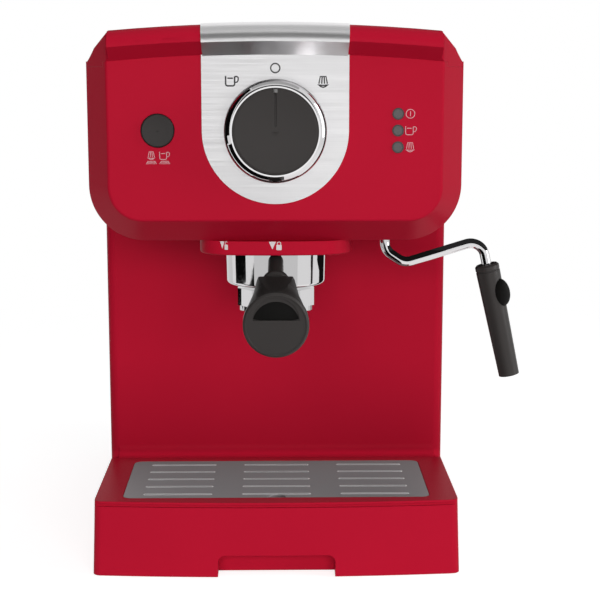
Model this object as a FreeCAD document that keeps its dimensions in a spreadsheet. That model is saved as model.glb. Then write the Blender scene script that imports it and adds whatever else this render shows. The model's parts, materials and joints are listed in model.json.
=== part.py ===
"""Espresso machine: a column with an overhanging head, a drip tray in front and a water tank behind.

Writes parts/NODE.step for each sub-part. Millimetres, X to the right as seen from the front, Y to the back,
Z up. The origin is on the counter, in the middle plane and half way along the depth of the machine.
"""
import FreeCAD
import Part
import Sketcher
import math
import os

Vector = FreeCAD.Vector

# The driving sizes: alias, value, meaning. Heights are above the counter, depths along Y.
SIZES = (
    ("body_width", 220, "width of the column and of the head"),
    ("wall", 2.5, "wall of the large mouldings"),
    ("seat_gap", 0.3, "gap between pieces that slide or turn past each other"),
    ("running_gap", 0.05, "radial gap of a shaft in its bearing"),
    ("foot_height", 1.5, "part of a rubber foot that shows under the base"),
    ("foot_radius", 8, "radius of a rubber foot"),
    ("foot_socket", 1.2, "depth of a foot's socket in the base"),
    ("foot_side", 84, "a foot's distance from the middle plane"),
    ("foot_front", -108, "depth of the front feet"),
    ("foot_rear", 126, "depth of the rear feet"),
    ("pan_thick", 4.2, "floor of the base pan"),
    ("pan_rim", 2.3, "height of the rim that carries the column"),
    ("rear_end", 142, "depth of the base's rear face"),
    ("pedestal_top", 36, "height of the tank's seat"),
    ("skirt_reach", 16, "how far the rear skirt splays out beyond the column"),
    ("skirt_rise", 36, "height where the rear skirt leaves the base"),
    ("skirt_thick", 3, "wall of the rear skirt"),
    ("screw_side", 96, "a base screw's distance from the middle plane"),
    ("screw_front", -22, "depth of the front base screws"),
    ("screw_rear", 76, "depth of the rear base screws"),
    ("screw_radius", 1.6, "shank of a base screw"),
    ("screw_head", 3.2, "head radius of a base screw"),
    ("screw_length", 18, "shank length of a base screw"),
    ("boss_radius", 5, "screw boss in the column"),
    ("column_front", -36, "depth of the column's front wall"),
    ("column_back", 90, "depth of the column's rear wall"),
    ("column_corner", 6, "radius of the column's front corners"),
    ("cove", 7, "radius of the cove at the column's foot"),
    ("head_bottom", 199.3, "height of the head's underside"),
    ("head_corner", 33, "radius of the head's lower corners"),
    ("head_back", -106, "depth of the joint between head and fascia"),
    ("wall_top", 301, "height of the housing's walls"),
    ("face", -134, "depth of the fascia's front face"),
    ("bevel_in", 14, "width of the fascia's bevel, seen from the front"),
    ("bevel_deep", 22, "depth of the fascia's bevel"),
    ("face_edge", 2, "rounding where the face meets the bevel"),
    ("face_wall", 4, "thickness of the fascia's front wall"),
    ("face_top", 308.5, "height of the face in the middle"),
    ("arch_radius", 1050, "radius of the arched upper edge of the face"),
    ("shelf_top", 304, "height of the cup shelf"),
    ("brow_top", 325, "height of the brow in the middle"),
    ("nose_reach", 10, "how far the brow's underside comes forward"),
    ("nose_rise", 7.4, "how far the brow's underside rises"),
    ("nose_radius", 9, "radius of the brow's nose"),
    ("crest_front", -132.5, "depth of the crest's front edge"),
    ("crest_rear", -128, "depth of the crest's rear edge"),
    ("brow_rear", -104, "depth where the brow runs out into the shelf"),
    ("brow_hollow", 60, "radius of the brow's hollow back"),
    ("brow_end", 94.5, "half width of the brow's nose"),
    ("flank_low", 305.8, "height where the brow's sloping ends leave the sides"),
    ("flank_rise", 13.4, "how far the brow's sloping ends rise up to the face's edges"),
    ("plate_width", 84.1, "width of the control plate"),
    ("trim_width", 82.6, "width of the brow plate"),
    ("plate_thick", 1, "thickness of the control plate"),
    ("plate_recess", 0.6, "depth of the control plate's recess"),
    ("plate_top_gap", 0.7, "red margin above the control plate"),
    ("trim_thick", 0.6, "thickness of the brow plate"),
    ("trim_bond", 0.2, "adhesive film under the brow plate"),
    ("trim_rear", -107.5, "depth of the brow plate's rear edge"),
    ("dial_drop", 43.5, "the dial's, the button's and the middle light's distance below the face's top"),
    ("ring_radius", 29.2, "outer radius of the dial's chrome ring"),
    ("ring_crest", 25.4, "radius of the chrome ring's front edge"),
    ("ring_round", 6, "radius of the chrome ring's rounded slope"),
    ("knob_radius", 24.5, "radius of the dial's black knob"),
    ("dial_depth", 15, "how far the dial stands out"),
    ("knob_dish", 1.2, "how far the knob's face is dished"),
    ("hub_depth", 8, "depth of the shaft's hole in the knob"),
    ("pointer_width", 1.2, "width of the pointer groove"),
    ("shaft_radius", 3, "radius of the dial's shaft"),
    ("shaft_reach", 18, "length of the shaft behind the face"),
    ("switch_width", 32, "side of the selector switch"),
    ("board_front", -108, "depth of the control board's front"),
    ("board_thick", 1.6, "thickness of the control board"),
    ("board_width", 172, "width of the control board"),
    ("board_height", 56, "height of the control board"),
    ("button_place", -67.3, "the brew button's place across the face"),
    ("button_radius", 9.4, "radius of the brew button"),
    ("button_proud", 1.6, "how far the button stands out"),
    ("button_dish", 0.5, "how far the button's face is dished"),
    ("flange_thick", 2, "thickness of the flange that keeps the button in"),
    ("button_travel", 2.5, "travel of the button"),
    ("button_flange", 11, "radius of the button's inner flange"),
    ("light_place", 70.2, "the lights' place across the face"),
    ("light_pitch", 9.5, "distance between the lights"),
    ("light_radius", 3, "radius of an indicator light"),
    ("light_proud", 0.5, "how far the lights stand out"),
    ("group_depth", -73.5, "depth of the brew group's axis"),
    ("collar_half", 45.6, "half width of the brew collar"),
    ("collar_reach", 45.6, "reach of the brew collar's front from the group's axis"),
    ("collar_bow", 200, "radius of the brew collar's bowed front"),
    ("collar_corner", 20, "radius of the brew collar's front corners"),
    ("collar_height", 8.5, "height of the brew collar"),
    ("collar_edge", 1, "rounding of the collar's lower edge"),
    ("group_radius", 36.2, "outer radius of the group ring"),
    ("lug_reach", 50, "reach of the group ring's mounting lugs"),
    ("lug_width", 24, "width of the group ring's mounting lugs"),
    ("lug_thick", 4, "thickness of the group ring's mounting lugs"),
    ("group_top", 214, "height of the group ring's top"),
    ("group_inset", 0.8, "how far the group ring sits above the collar's edge"),
    ("ledge_thick", 4.6, "thickness of the bayonet's ledge"),
    ("ear_thick", 4, "thickness of a portafilter ear"),
    ("ear_radius", 34.2, "radius out to the ears' ends"),
    ("ear_width", 20, "width of a portafilter ear"),
    ("lock_angle", 43, "turn of the portafilter from locked to free, in degrees"),
    ("gasket_outer", 31, "outer radius of the group gasket"),
    ("gasket_inner", 25.6, "inner radius of the group gasket"),
    ("gasket_thick", 4.5, "thickness of the group gasket"),
    ("screen_radius", 25, "radius of the shower screen"),
    ("screen_thick", 1, "thickness of the shower screen"),
    ("screen_hole", 1.2, "radius of a hole in the shower screen"),
    ("cup_radius", 31, "outer radius of the portafilter's cup at its rim"),
    ("cup_foot", 30.3, "outer radius of the cup at its foot"),
    ("cup_wall", 2.6, "wall of the cup"),
    ("cup_top", 202, "height of the cup's rim"),
    ("cup_bottom", 168.4, "height of the cup's foot"),
    ("cup_edge", 2, "rounding of the cup's foot"),
    ("basket_depth", 23, "depth of the filter basket"),
    ("basket_wall", 0.8, "wall of the filter basket"),
    ("basket_taper", 3, "how much narrower the basket is at its floor"),
    ("basket_hole", 1, "radius of a hole in the basket's floor"),
    ("outlet_radius", 10, "radius of the outlet boss under the cup"),
    ("spout_width", 47.5, "width of the double spout"),
    ("spout_depth", 30, "depth of the double spout"),
    ("spout_facet", 9, "how far the spout's front facets run in from its ends"),
    ("spout_end", 2.3, "size of the facets at the spout's ends"),
    ("spout_top", 165, "height of the double spout's top"),
    ("spout_bottom", 154.2, "height of the double spout's underside"),
    ("spout_tip", 150.8, "height of the spout's tips"),
    ("tip_radius", 5.5, "outer radius of a spout tip"),
    ("tip_bore", 3.5, "bore of a spout tip"),
    ("tip_place", 17, "a spout tip's distance from the middle"),
    ("handle_tilt", 12, "downward tilt of the handle in degrees"),
    ("handle_height", 186, "height of the handle's axis at the cup"),
    ("handle_length", 105, "length of the handle from the cup"),
    ("neck_radius", 4.5, "radius of the neck at the cup"),
    ("neck_end", 4.8, "radius of the neck at the ferrule"),
    ("neck_length", 37, "length of the neck"),
    ("ferrule_radius", 8.1, "radius of the ferrule"),
    ("ferrule_length", 5, "length of the ferrule"),
    ("grip_start", 11.4, "radius of the grip at the ferrule"),
    ("grip_middle", 13.6, "radius of the grip half way"),
    ("grip_curve", 320, "radius of the grip's hollow"),
    ("grip_end", 17.8, "radius of the grip's end"),
    ("flat_height", 5.5, "height of the grip's upper flat above the axis, at the ferrule"),
    ("cap_tilt", 3, "downward tilt of the handle's end face in degrees"),
    ("cap_thick", 6, "thickness of the handle's end cap"),
    ("cap_rim", 1.7, "width of the end cap's raised rim"),
    ("cap_step", 0.4, "how far the end cap's disc lies behind its rim"),
    ("scoop_depth", 1.6, "depth of the thumb scoop in the end cap"),
    ("stud_radius", 2, "radius of the stud inside the handle"),
    ("wand_place", 67, "the steam wand's place across the head"),
    ("wand_depth", -87, "depth of the steam wand"),
    ("tube_radius", 3, "radius of the steam tube"),
    ("bush_radius", 8, "radius of the wand's bush"),
    ("bush_height", 15, "height of the wand's bush"),
    ("low_bend_place", 79, "place of the tube's low bend"),
    ("low_bend_height", 182, "height of the tube's low bend"),
    ("high_bend_place", 126.3, "place of the tube's high bend"),
    ("high_bend_height", 196.5, "height of the tube's high bend"),
    ("tube_bend", 9, "bend radius of the steam tube"),
    ("sleeve_drop", 15.8, "distance of the frother sleeve's top from the high bend, along the tube"),
    ("sleeve_tilt", 12.6, "tilt of the frother sleeve in degrees"),
    ("sleeve_length", 71, "length of the frother sleeve"),
    ("sleeve_top", 7.4, "radius of the sleeve at its top"),
    ("sleeve_foot", 6.3, "radius of the sleeve at its foot"),
    ("sleeve_wall", 1.8, "wall of the sleeve at its foot"),
    ("sleeve_clearance", 0.8, "step from the sleeve's guide to its bore"),
    ("lobe_drop", 18.4, "distance of the thumb lobe from the sleeve's top"),
    ("lobe_length", 17, "length of the thumb lobe"),
    ("lobe_width", 9.5, "width of the thumb lobe"),
    ("lobe_thick", 11, "thickness of the thumb lobe, through the sleeve's wall"),
    ("lobe_reach", 6.2, "the thumb lobe's distance from the sleeve's axis"),
    ("lobe_turn", 50, "turn of the thumb lobe from the front to the outside, in degrees"),
    ("nozzle_radius", 2.9, "radius of the steam nozzle"),
    ("nozzle_length", 12, "length of the steam nozzle"),
    ("tube_end", 46, "length of tube inside the sleeve"),
    ("tray_front", -142, "depth of the drip tray's front in the middle"),
    ("tray_bow", 5, "how far the tray's front bows out"),
    ("tray_proud", 0.2, "how far the tray's foot stands out beyond the column's side"),
    ("tray_draft", 1.7, "how far each side of the tray leans in up to its rim"),
    ("tray_low", 0.5, "height of the tray's lower edge above the counter"),
    ("tray_top", 46.5, "height of the tray's rim"),
    ("tray_corner", 5, "rounding of the tray's front corners"),
    ("tray_floor", 2.5, "thickness of the tray's floor"),
    ("lip_height", 1.4, "height of the lip above the shadow groove"),
    ("groove_height", 1.8, "height of the shadow groove"),
    ("groove_depth", 1.4, "depth of the shadow groove"),
    ("recess_width", 70, "width of the finger recess"),
    ("recess_top", 13.7, "height of the finger recess"),
    ("recess_depth", 12, "depth of the finger recess"),
    ("recess_corner", 4.5, "rounding of the finger recess"),
    ("grill_width", 184, "width of the drip grill"),
    ("grill_front", -131, "depth of the grill's front edge"),
    ("grill_rear", -52, "depth of the grill's rear edge"),
    ("grill_thick", 2, "thickness of the drip grill"),
    ("grill_corner", 5, "rounding of the grill's corners"),
    ("grill_ledge", 4, "width of the ledge that carries the grill"),
    ("slot_length", 41, "length of a slot in the grill"),
    ("slot_width", 2, "width of a slot in the grill"),
    ("slot_side", 59.5, "distance between the slots in a row"),
    ("slot_pitch", 15.75, "distance between the rows of slots"),
    ("slot_margin", 7, "distance of the first row from the grill's front edge"),
    ("dimple_radius", 5.8, "radius of the dimple at the grill's front edge"),
    ("dimple_depth", 1.2, "depth of the dimple at the grill's front edge"),
    ("tank_half", 103, "half width of the water tank"),
    ("tank_front", 92, "depth of the tank's front"),
    ("tank_rear", 138, "depth of the tank's rear"),
    ("tank_top", 297.6, "height of the tank's rim"),
    ("tank_wall", 2.2, "wall of the tank"),
    ("tank_corner", 8, "rounding of the tank's upright corners"),
    ("valve_depth", 115, "depth of the tank's outlet"),
    ("valve_radius", 6, "radius of the tank's outlet valve"),
    ("seat_spigot", 10, "length of the hose spigot under the tank seat"),
    ("spigot_radius", 2.2, "radius of the spigot that opens the valve"),
    ("seat_radius", 9, "radius of the tank seat's socket"),
    ("lid_thick", 5.5, "thickness of the tank lid"),
    ("lid_half", 108, "half width of the tank lid"),
    ("lid_clearance", 1.4, "gap between the lid's plate and its knuckle"),
    ("lid_corner", 6, "rounding of the lid's corners"),
    ("hinge_offset", 0.4, "how far the lid's hinge lies behind the tank"),
    ("hinge_half", 40, "half length of the lid's knuckle"),
    ("knuckle_radius", 2.6, "radius of the lid's knuckle"),
    ("pin_radius", 1.4, "radius of the lid's pin"),
    ("ear_plate", 5, "thickness of a hinge ear on the tank"),
    ("ear_drop", 12, "how far a hinge ear reaches down the tank"),
    ("pump_place", -45, "the pump's place across the column"),
    ("pump_depth", 34, "depth of the pump"),
    ("pump_radius", 12, "radius of the pump's barrel"),
    ("pump_bottom", 30, "height of the pump's lower end"),
    ("pump_length", 98, "length of the pump's barrel"),
    ("coil_width", 42, "width of the pump's coil"),
    ("coil_height", 48, "height of the pump's coil"),
    ("mount_thick", 10, "thickness of a rubber pump mount"),
    ("mount_radius", 17, "radius of a rubber pump mount"),
    ("bracket_thick", 2, "sheet thickness of the pump bracket"),
    ("nipple_radius", 3, "radius of a hose nipple"),
    ("nipple_length", 9, "length of a hose nipple"),
    ("hose_radius", 3.5, "radius of a hose"),
    ("hose_bend", 9, "bend radius of the pressure hose and of the steam pipe"),
    ("suction_bend", 7, "bend radius of the suction hose"),
    ("hose_low", 13, "height of the suction hose's low run"),
    ("block_width", 88, "width of the thermoblock"),
    ("block_front", -105, "depth of the thermoblock's front"),
    ("block_rear", -40, "depth of the thermoblock's rear"),
    ("block_height", 32, "height of the thermoblock"),
    ("block_corner", 8, "rounding of the thermoblock's corners"),
    ("fin_width", 3, "width of the grooves between the thermoblock's fins"),
    ("fin_depth", 6, "depth of the grooves between the thermoblock's fins"),
    ("fin_pitch", 9, "distance between the thermoblock's fins"),
    ("thermostat_radius", 9, "radius of a thermostat"),
    ("thermostat_height", 7, "height of a thermostat"),
    ("pipe_height", 232, "height of the pipes at the thermoblock"),
    ("steam_radius", 2.2, "radius of the steam pipe"),
    ("warmer_width", 168, "width of the cup plate"),
    ("warmer_front", -92, "depth of the cup plate's front edge"),
    ("warmer_rear", 78, "depth of the cup plate's rear edge"),
    ("warmer_thick", 1, "thickness of the cup plate"),
    ("bead_width", 5, "width of a bead on the cup plate"),
    ("bead_height", 1, "height of a bead on the cup plate"),
    ("bead_pitch", 26, "distance between the cup plate's beads"),
    ("gland_place", 70, "the cord gland's place across the back"),
    ("gland_height", 20, "height of the cord gland"),
    ("gland_radius", 6, "radius of the cord gland"),
    ("gland_bore", 3.6, "radius of the cord gland's bore"),
)

doc = FreeCAD.newDocument("espresso_machine")
sheet = doc.addObject("Spreadsheet::Sheet", "Sizes")
NODES = []


class Size:
    """A number together with the expression that gives it in the document."""

    def __init__(self, value, text):
        self.value = value
        self.text = text

    def __add__(self, other):
        other = as_size(other)
        return Size(self.value + other.value, f"({self.text} + {other.text})")

    def __sub__(self, other):
        other = as_size(other)
        return Size(self.value - other.value, f"({self.text} - {other.text})")

    def __mul__(self, other):
        other = as_size(other)
        return Size(self.value * other.value, f"({self.text} * {other.text})")

    def __truediv__(self, other):
        other = as_size(other)
        return Size(self.value / other.value, f"({self.text} / {other.text})")

    def __radd__(self, other):
        return as_size(other) + self

    def __rsub__(self, other):
        return as_size(other) - self

    def __rmul__(self, other):
        return as_size(other) * self

    def __neg__(self):
        return as_size(0) - self


class Named:
    """The driving sizes, each an attribute under its alias."""


def as_size(number):
    if isinstance(number, Size):
        return number
    return Size(float(number), repr(float(number)))


def root(size):
    return Size(math.sqrt(size.value), f"sqrt({size.text})")


def sine(size):
    return Size(math.sin(math.radians(size.value)), f"sin({size.text} * 1 deg)")


def cosine(size):
    return Size(math.cos(math.radians(size.value)), f"cos({size.text} * 1 deg)")


def fill_sheet():
    named = Named()
    for row, (alias, value, meaning) in enumerate(SIZES, 1):
        sheet.set(f"A{row}", alias)
        sheet.set(f"B{row}", str(value))
        sheet.set(f"C{row}", meaning)
        sheet.setAlias(f"B{row}", alias)
        setattr(named, alias, Size(float(value), f"Sizes.{alias}"))
    doc.recompute()
    return named


s = fill_sheet()


# Document helpers


def bind(made, path, size):
    made.setExpression(path, as_size(size).text)


def place(made, x, y, z):
    for letter, size in zip("xyz", (x, y, z)):
        bind(made, f"Placement.Base.{letter}", size)


def keep(made, name):
    made.Label = name
    NODES.append(made)
    return made


def body(name, x=0, y=0, z=0, rotation=None):
    """A body in its own frame, set at x, y, z and turned."""
    made = doc.addObject("PartDesign::Body", name)
    if rotation is not None:
        made.Placement = FreeCAD.Placement(Vector(), rotation)
    place(made, x, y, z)
    return keep(made, name)


def sketch(owner, plane, offset=0):
    """A sketch on one of the body's planes, moved along that plane's normal (XZ_Plane's points to -Y)."""
    made = owner.newObject("Sketcher::SketchObject", owner.Name + "_sketch")
    planes = {feature.Role: feature for feature in owner.Origin.OriginFeatures}
    made.AttachmentSupport = [(planes[plane], "")]
    made.MapMode = "FlatFace"
    bind(made, "AttachmentOffset.Base.z", offset)
    return made


def bound_constraints(drawn, wanted):
    """Add constraints, each with the size that drives it."""
    indices = drawn.addConstraint([constraint for constraint, _ in wanted])
    for index, (_, size) in zip(indices, wanted):
        bind(drawn, f"Constraints[{index}]", size)


def at_point(geometry, position, x, y):
    return [
        (Sketcher.Constraint("DistanceX", -1, 1, geometry, position, as_size(x).value), x),
        (Sketcher.Constraint("DistanceY", -1, 1, geometry, position, as_size(y).value), y),
    ]


def arc_between(start, stop, radius, to_left):
    """The short arc from start to stop, with its centre to the left or to the right of the way."""
    along = stop - start
    reach = math.sqrt(max(radius ** 2 - (along.Length / 2) ** 2, 0))
    side = Vector(-along.y, along.x, 0).normalize()
    centre = (start + stop) * 0.5 + side * (reach if to_left else -reach)
    first, last = (start, stop) if to_left else (stop, start)
    angles = [math.atan2(point.y - centre.y, point.x - centre.x) for point in (first, last)]
    return Part.ArcOfCircle(Part.Circle(centre, Vector(0, 0, 1), radius), *angles)


def outline(drawn, points):
    """A closed outline through points (x, y), or (x, y, radius, to_left) where an arc leads to the next."""
    corners = [Vector(as_size(p[0]).value, as_size(p[1]).value, 0) for p in points]
    ends, wanted = [], []
    for index, point in enumerate(points):
        start, stop = corners[index], corners[(index + 1) % len(points)]
        if len(point) == 2:
            ends.append((drawn.addGeometry(Part.LineSegment(start, stop), False), 1, 2))
            continue
        radius, to_left = as_size(point[2]), point[3]
        made = drawn.addGeometry(arc_between(start, stop, radius.value, to_left), False)
        ends.append((made, 1, 2) if to_left else (made, 2, 1))
        wanted.append((Sketcher.Constraint("Radius", made, radius.value), radius))
    joined = []
    for index, (made, _, last) in enumerate(ends):
        following, first, _ = ends[(index + 1) % len(ends)]
        joined.append(Sketcher.Constraint("Coincident", made, last, following, first))
    drawn.addConstraint(joined)
    for (made, first, _), point in zip(ends, points):
        wanted += at_point(made, first, point[0], point[1])
    bound_constraints(drawn, wanted)
    return drawn


def rectangle(drawn, x0, x1, y0, y1):
    return outline(drawn, [(x0, y0), (x1, y0), (x1, y1), (x0, y1)])


def rounded(drawn, x0, x1, y0, y1, radius):
    return outline(drawn, [
        (x0 + radius, y0), (x1 - radius, y0, radius, True),
        (x1, y0 + radius), (x1, y1 - radius, radius, True),
        (x1 - radius, y1), (x0 + radius, y1, radius, True),
        (x0, y1 - radius), (x0, y0 + radius, radius, True),
    ])


def circle(drawn, x, y, radius):
    radius = as_size(radius)
    centre = Vector(as_size(x).value, as_size(y).value, 0)
    made = drawn.addGeometry(Part.Circle(centre, Vector(0, 0, 1), radius.value), False)
    width = Sketcher.Constraint("Radius", made, radius.value)
    bound_constraints(drawn, at_point(made, 3, x, y) + [(width, radius)])
    return drawn


def pad(owner, drawn, length, both_ways=False, reverse=False):
    made = owner.newObject("PartDesign::Pad", owner.Name + "_pad")
    made.Profile = drawn
    made.SideType = "Symmetric" if both_ways else "One side"
    made.Reversed = reverse
    bind(made, "Length", length)
    return made


def pocket(owner, drawn, length, both_ways=False, reverse=False):
    """Cut against the sketch's normal, or along it when reversed; a cut that removes nothing is an error."""
    doc.recompute()
    before = owner.Shape.Volume
    made = owner.newObject("PartDesign::Pocket", owner.Name + "_pocket")
    made.Profile = drawn
    made.SideType = "Symmetric" if both_ways else "One side"
    made.Reversed = reverse
    bind(made, "Length", length)
    doc.recompute()
    if owner.Shape.Volume > before - 0.01:
        raise RuntimeError(f"{made.Name} cuts nothing")
    return made


def turned(owner, drawn, cutting=False):
    """Turn an XZ_Plane sketch, x as radius, about the body's own Z axis."""
    kind = "PartDesign::Groove" if cutting else "PartDesign::Revolution"
    made = owner.newObject(kind, owner.Name + "_turned")
    made.Profile = drawn
    made.ReferenceAxis = (drawn, ["V_Axis"])
    made.Angle = 360
    return made


def edges_of(base, test):
    doc.recompute()
    names = [f"Edge{number}" for number, edge in enumerate(base.Shape.Edges, 1) if test(edge)]
    if not names:
        raise RuntimeError(f"no such edge on {base.Name}")
    return names


def fillet(owner, base, radius, test):
    names = edges_of(base, test)
    made = owner.newObject("PartDesign::Fillet", owner.Name + "_fillet")
    made.Base = (base, names)
    bind(made, "Radius", radius)
    return made


def close_to(value, size):
    return abs(value - as_size(size).value) < 0.01


def upright(edge):
    box = edge.BoundBox
    return box.XLength < 0.01 and box.YLength < 0.01 and box.ZLength > 1


# Primitives


def box(name, x0, x1, y0, y1, z0, z1):
    made = doc.addObject("Part::Box", name)
    for path, low, high in (("Length", x0, x1), ("Width", y0, y1), ("Height", z0, z1)):
        bind(made, path, as_size(high) - low)
    place(made, x0, y0, z0)
    return made


ALONG_Z = FreeCAD.Rotation()
ALONG_FRONT = FreeCAD.Rotation(Vector(1, 0, 0), 90)
ALONG_X = FreeCAD.Rotation(Vector(0, 1, 0), 90)


def cylinder(name, x, y, z, radius, height, rotation=ALONG_Z):
    """A cylinder that starts at x, y, z and runs up, to the front or to the right."""
    made = doc.addObject("Part::Cylinder", name)
    made.Placement = FreeCAD.Placement(Vector(), rotation)
    bind(made, "Radius", radius)
    bind(made, "Height", height)
    place(made, x, y, z)
    return made


def cut(name, base, tool):
    made = doc.addObject("Part::Cut", name)
    made.Base = base
    made.Tool = tool
    return made


def fuse(name, pieces):
    made = doc.addObject("Part::MultiFuse", name)
    made.Shapes = pieces
    return made


def group(name, pieces):
    made = doc.addObject("Part::Compound", name)
    made.Links = pieces
    return keep(made, name)


def route(points, bend):
    """A wire of straight runs through the points, with a tangent arc at each corner."""
    edges, start = [], points[0]
    for corner, after in zip(points[1:-1], points[2:]):
        inward = (start - corner).normalize()
        onward = (after - corner).normalize()
        half = inward.getAngle(onward) / 2
        first = corner + inward * (bend / math.tan(half))
        last = corner + onward * (bend / math.tan(half))
        centre = corner + (inward + onward).normalize() * (bend / math.sin(half))
        middle = centre + (corner - centre).normalize() * bend
        edges.append(Part.LineSegment(start, first).toShape())
        edges.append(Part.Arc(first, middle, last).toShape())
        start = last
    edges.append(Part.LineSegment(start, points[-1]).toShape())
    return Part.Wire(edges)


def pipe(name, points, radius, bend):
    """A round bar along a route of points, each three sizes."""
    points = [Vector(*[as_size(number).value for number in point]) for point in points]
    wire = route(points, bend.value)
    ring = Part.Circle(points[0], points[1] - points[0], radius.value).toShape()
    made = doc.addObject("Part::Feature", name)
    made.Shape = wire.makePipeShell([Part.Wire([ring])], True, False)
    expected = math.pi * radius.value ** 2 * wire.Length
    if abs(made.Shape.Volume / expected - 1) > 0.01:
        raise RuntimeError(f"{name} isn't its section times its length")
    return keep(made, name)


# Shared places worked out from the driving sizes

THROUGH = 4 * s.body_width
half = s.body_width / 2
pan_bottom = s.foot_height
pan_top = pan_bottom + s.pan_thick
column_foot = pan_top + s.pan_rim
foot_edge = s.column_front - s.cove
tray_rear = foot_edge - s.seat_gap
tray_foot_half = half + s.tray_proud
tray_top_half = tray_foot_half - s.tray_draft
face_half = half - s.bevel_in
face_inner = s.face + s.face_wall
bevel_rear = s.face + s.bevel_deep
head_floor = s.head_bottom + s.wall
arch_sag = s.arch_radius - root(s.arch_radius * s.arch_radius - half * half)
collar_bottom = s.head_bottom - s.collar_height
ledge_bottom = collar_bottom + s.group_inset
ear_bottom = ledge_bottom + s.ledge_thick + s.seat_gap
groove_top = s.cup_top + s.basket_wall + s.seat_gap
screen_bottom = groove_top + 0.5
block_top = s.group_top + s.block_height
grill_bottom = s.tray_top - s.grill_thick
tray_underside = pan_top + s.seat_gap
tank_bottom = s.pedestal_top + s.seat_gap
lid_bottom = s.tank_top + s.seat_gap
hinge_height = lid_bottom + s.lid_thick / 2
plate_front = s.face + s.plate_recess - s.plate_thick
dial_height = s.face_top - s.dial_drop
hinge_depth = s.tank_rear + s.hinge_offset
sleeve_place = s.high_bend_place + s.sleeve_drop * sine(s.sleeve_tilt)
sleeve_height = s.high_bend_height - s.sleeve_drop * cosine(s.sleeve_tilt)
seat_end = s.pedestal_top - s.wall - s.seat_spigot
screw_places = [(x, y) for x in (-s.screw_side, s.screw_side) for y in (s.screw_front, s.screw_rear)]
foot_places = [(x, y) for x in (-s.foot_side, s.foot_side) for y in (s.foot_front, s.foot_rear)]


# Base: pan with the tank's pedestal and splayed rear skirt, feet, screws and gland


def make_base_pan():
    pan = body("base_pan")
    tongue_half = tray_top_half - 10
    tongue_front = s.tray_front + s.recess_depth + s.wall + s.seat_gap
    floor = outline(sketch(pan, "XY_Plane", pan_bottom), [
        (-tongue_half, tongue_front), (tongue_half, tongue_front), (tongue_half, foot_edge),
        (half, foot_edge), (half, s.rear_end), (-half, s.rear_end), (-half, foot_edge),
        (-tongue_half, foot_edge),
    ])
    pad(pan, floor, s.pan_thick)
    rim = sketch(pan, "XY_Plane", pan_top)
    rectangle(rim, -half, half, foot_edge, s.column_back)
    rectangle(rim, -half + 2 * s.wall, half - 2 * s.wall, foot_edge + 2 * s.wall, s.column_back - 2 * s.wall)
    pad(pan, rim, s.pan_rim)
    pedestal = rectangle(sketch(pan, "XY_Plane", pan_top), -half, half, s.column_back, s.rear_end)
    pad(pan, pedestal, s.pedestal_top - pan_top)
    inside = rectangle(
        sketch(pan, "XZ_Plane", -s.column_back),
        -half + s.wall, half - s.wall, pan_top, s.pedestal_top - s.wall,
    )
    pocket(pan, inside, s.rear_end - s.column_back - s.wall)
    skirt = sketch(pan, "XZ_Plane", -s.rear_end)
    for sign in (-1, 1):
        outline(skirt, [
            (sign * half, s.skirt_rise), (sign * (half + s.skirt_reach * 0.3), s.skirt_rise * 0.62),
            (sign * (half + s.skirt_reach), pan_bottom),
            (sign * (half + s.skirt_reach - s.skirt_thick), pan_bottom),
            (sign * (half + s.skirt_reach * 0.3 - s.skirt_thick), s.skirt_rise * 0.56),
            (sign * half, s.skirt_rise - 2 * s.skirt_thick),
        ])
    pad(pan, skirt, s.rear_end - s.column_back)
    holes = sketch(pan, "XY_Plane", pan_bottom)
    for x, y in screw_places:
        circle(holes, x, y, s.screw_radius + s.running_gap)
    pocket(pan, holes, s.pan_thick + s.pan_rim, reverse=True)
    sinks = sketch(pan, "XY_Plane", pan_bottom)
    for x, y in screw_places:
        circle(sinks, x, y, s.screw_head + s.running_gap)
    pocket(pan, sinks, s.pan_thick / 2, reverse=True)
    sockets = sketch(pan, "XY_Plane", pan_bottom)
    for x, y in foot_places:
        circle(sockets, x, y, s.foot_radius + s.running_gap)
    pocket(pan, sockets, s.foot_socket, reverse=True)
    seat = circle(sketch(pan, "XY_Plane", s.pedestal_top), 0, s.valve_depth, s.seat_radius + s.running_gap)
    pocket(pan, seat, s.wall)
    gland = circle(
        sketch(pan, "XZ_Plane", -s.rear_end), s.gland_place, s.gland_height, s.gland_radius + s.running_gap,
    )
    pocket(pan, gland, s.wall, reverse=True)


def make_feet():
    group("rubber_feet", [
        cylinder(f"foot_{number}", x, y, 0, s.foot_radius, s.foot_height + s.foot_socket)
        for number, (x, y) in enumerate(foot_places)
    ])


def make_base_screws():
    screws = []
    sink = pan_bottom + s.pan_thick / 2
    for number, (x, y) in enumerate(screw_places):
        head = cylinder(f"screw_head_{number}", x, y, pan_bottom + 0.1, s.screw_head, s.pan_thick / 2 - 0.1)
        shank = cylinder(f"screw_shank_{number}", x, y, sink, s.screw_radius, s.screw_length)
        screws.append(fuse(f"screw_{number}", [head, shank]))
    group("base_screws", screws)


def make_cord_gland():
    gland = body("cord_gland", s.gland_place, s.rear_end, s.gland_height, ALONG_FRONT)
    drawn = outline(sketch(gland, "XZ_Plane"), [
        (s.gland_bore, -2), (s.gland_radius + 2, -2), (s.gland_radius + 2, 0), (s.gland_radius, 0),
        (s.gland_radius, s.wall), (s.gland_radius, s.wall * 2), (s.gland_bore, s.wall * 2),
    ])
    turned(gland, drawn)


# Housing: column, overhanging head and their inner bosses


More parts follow.
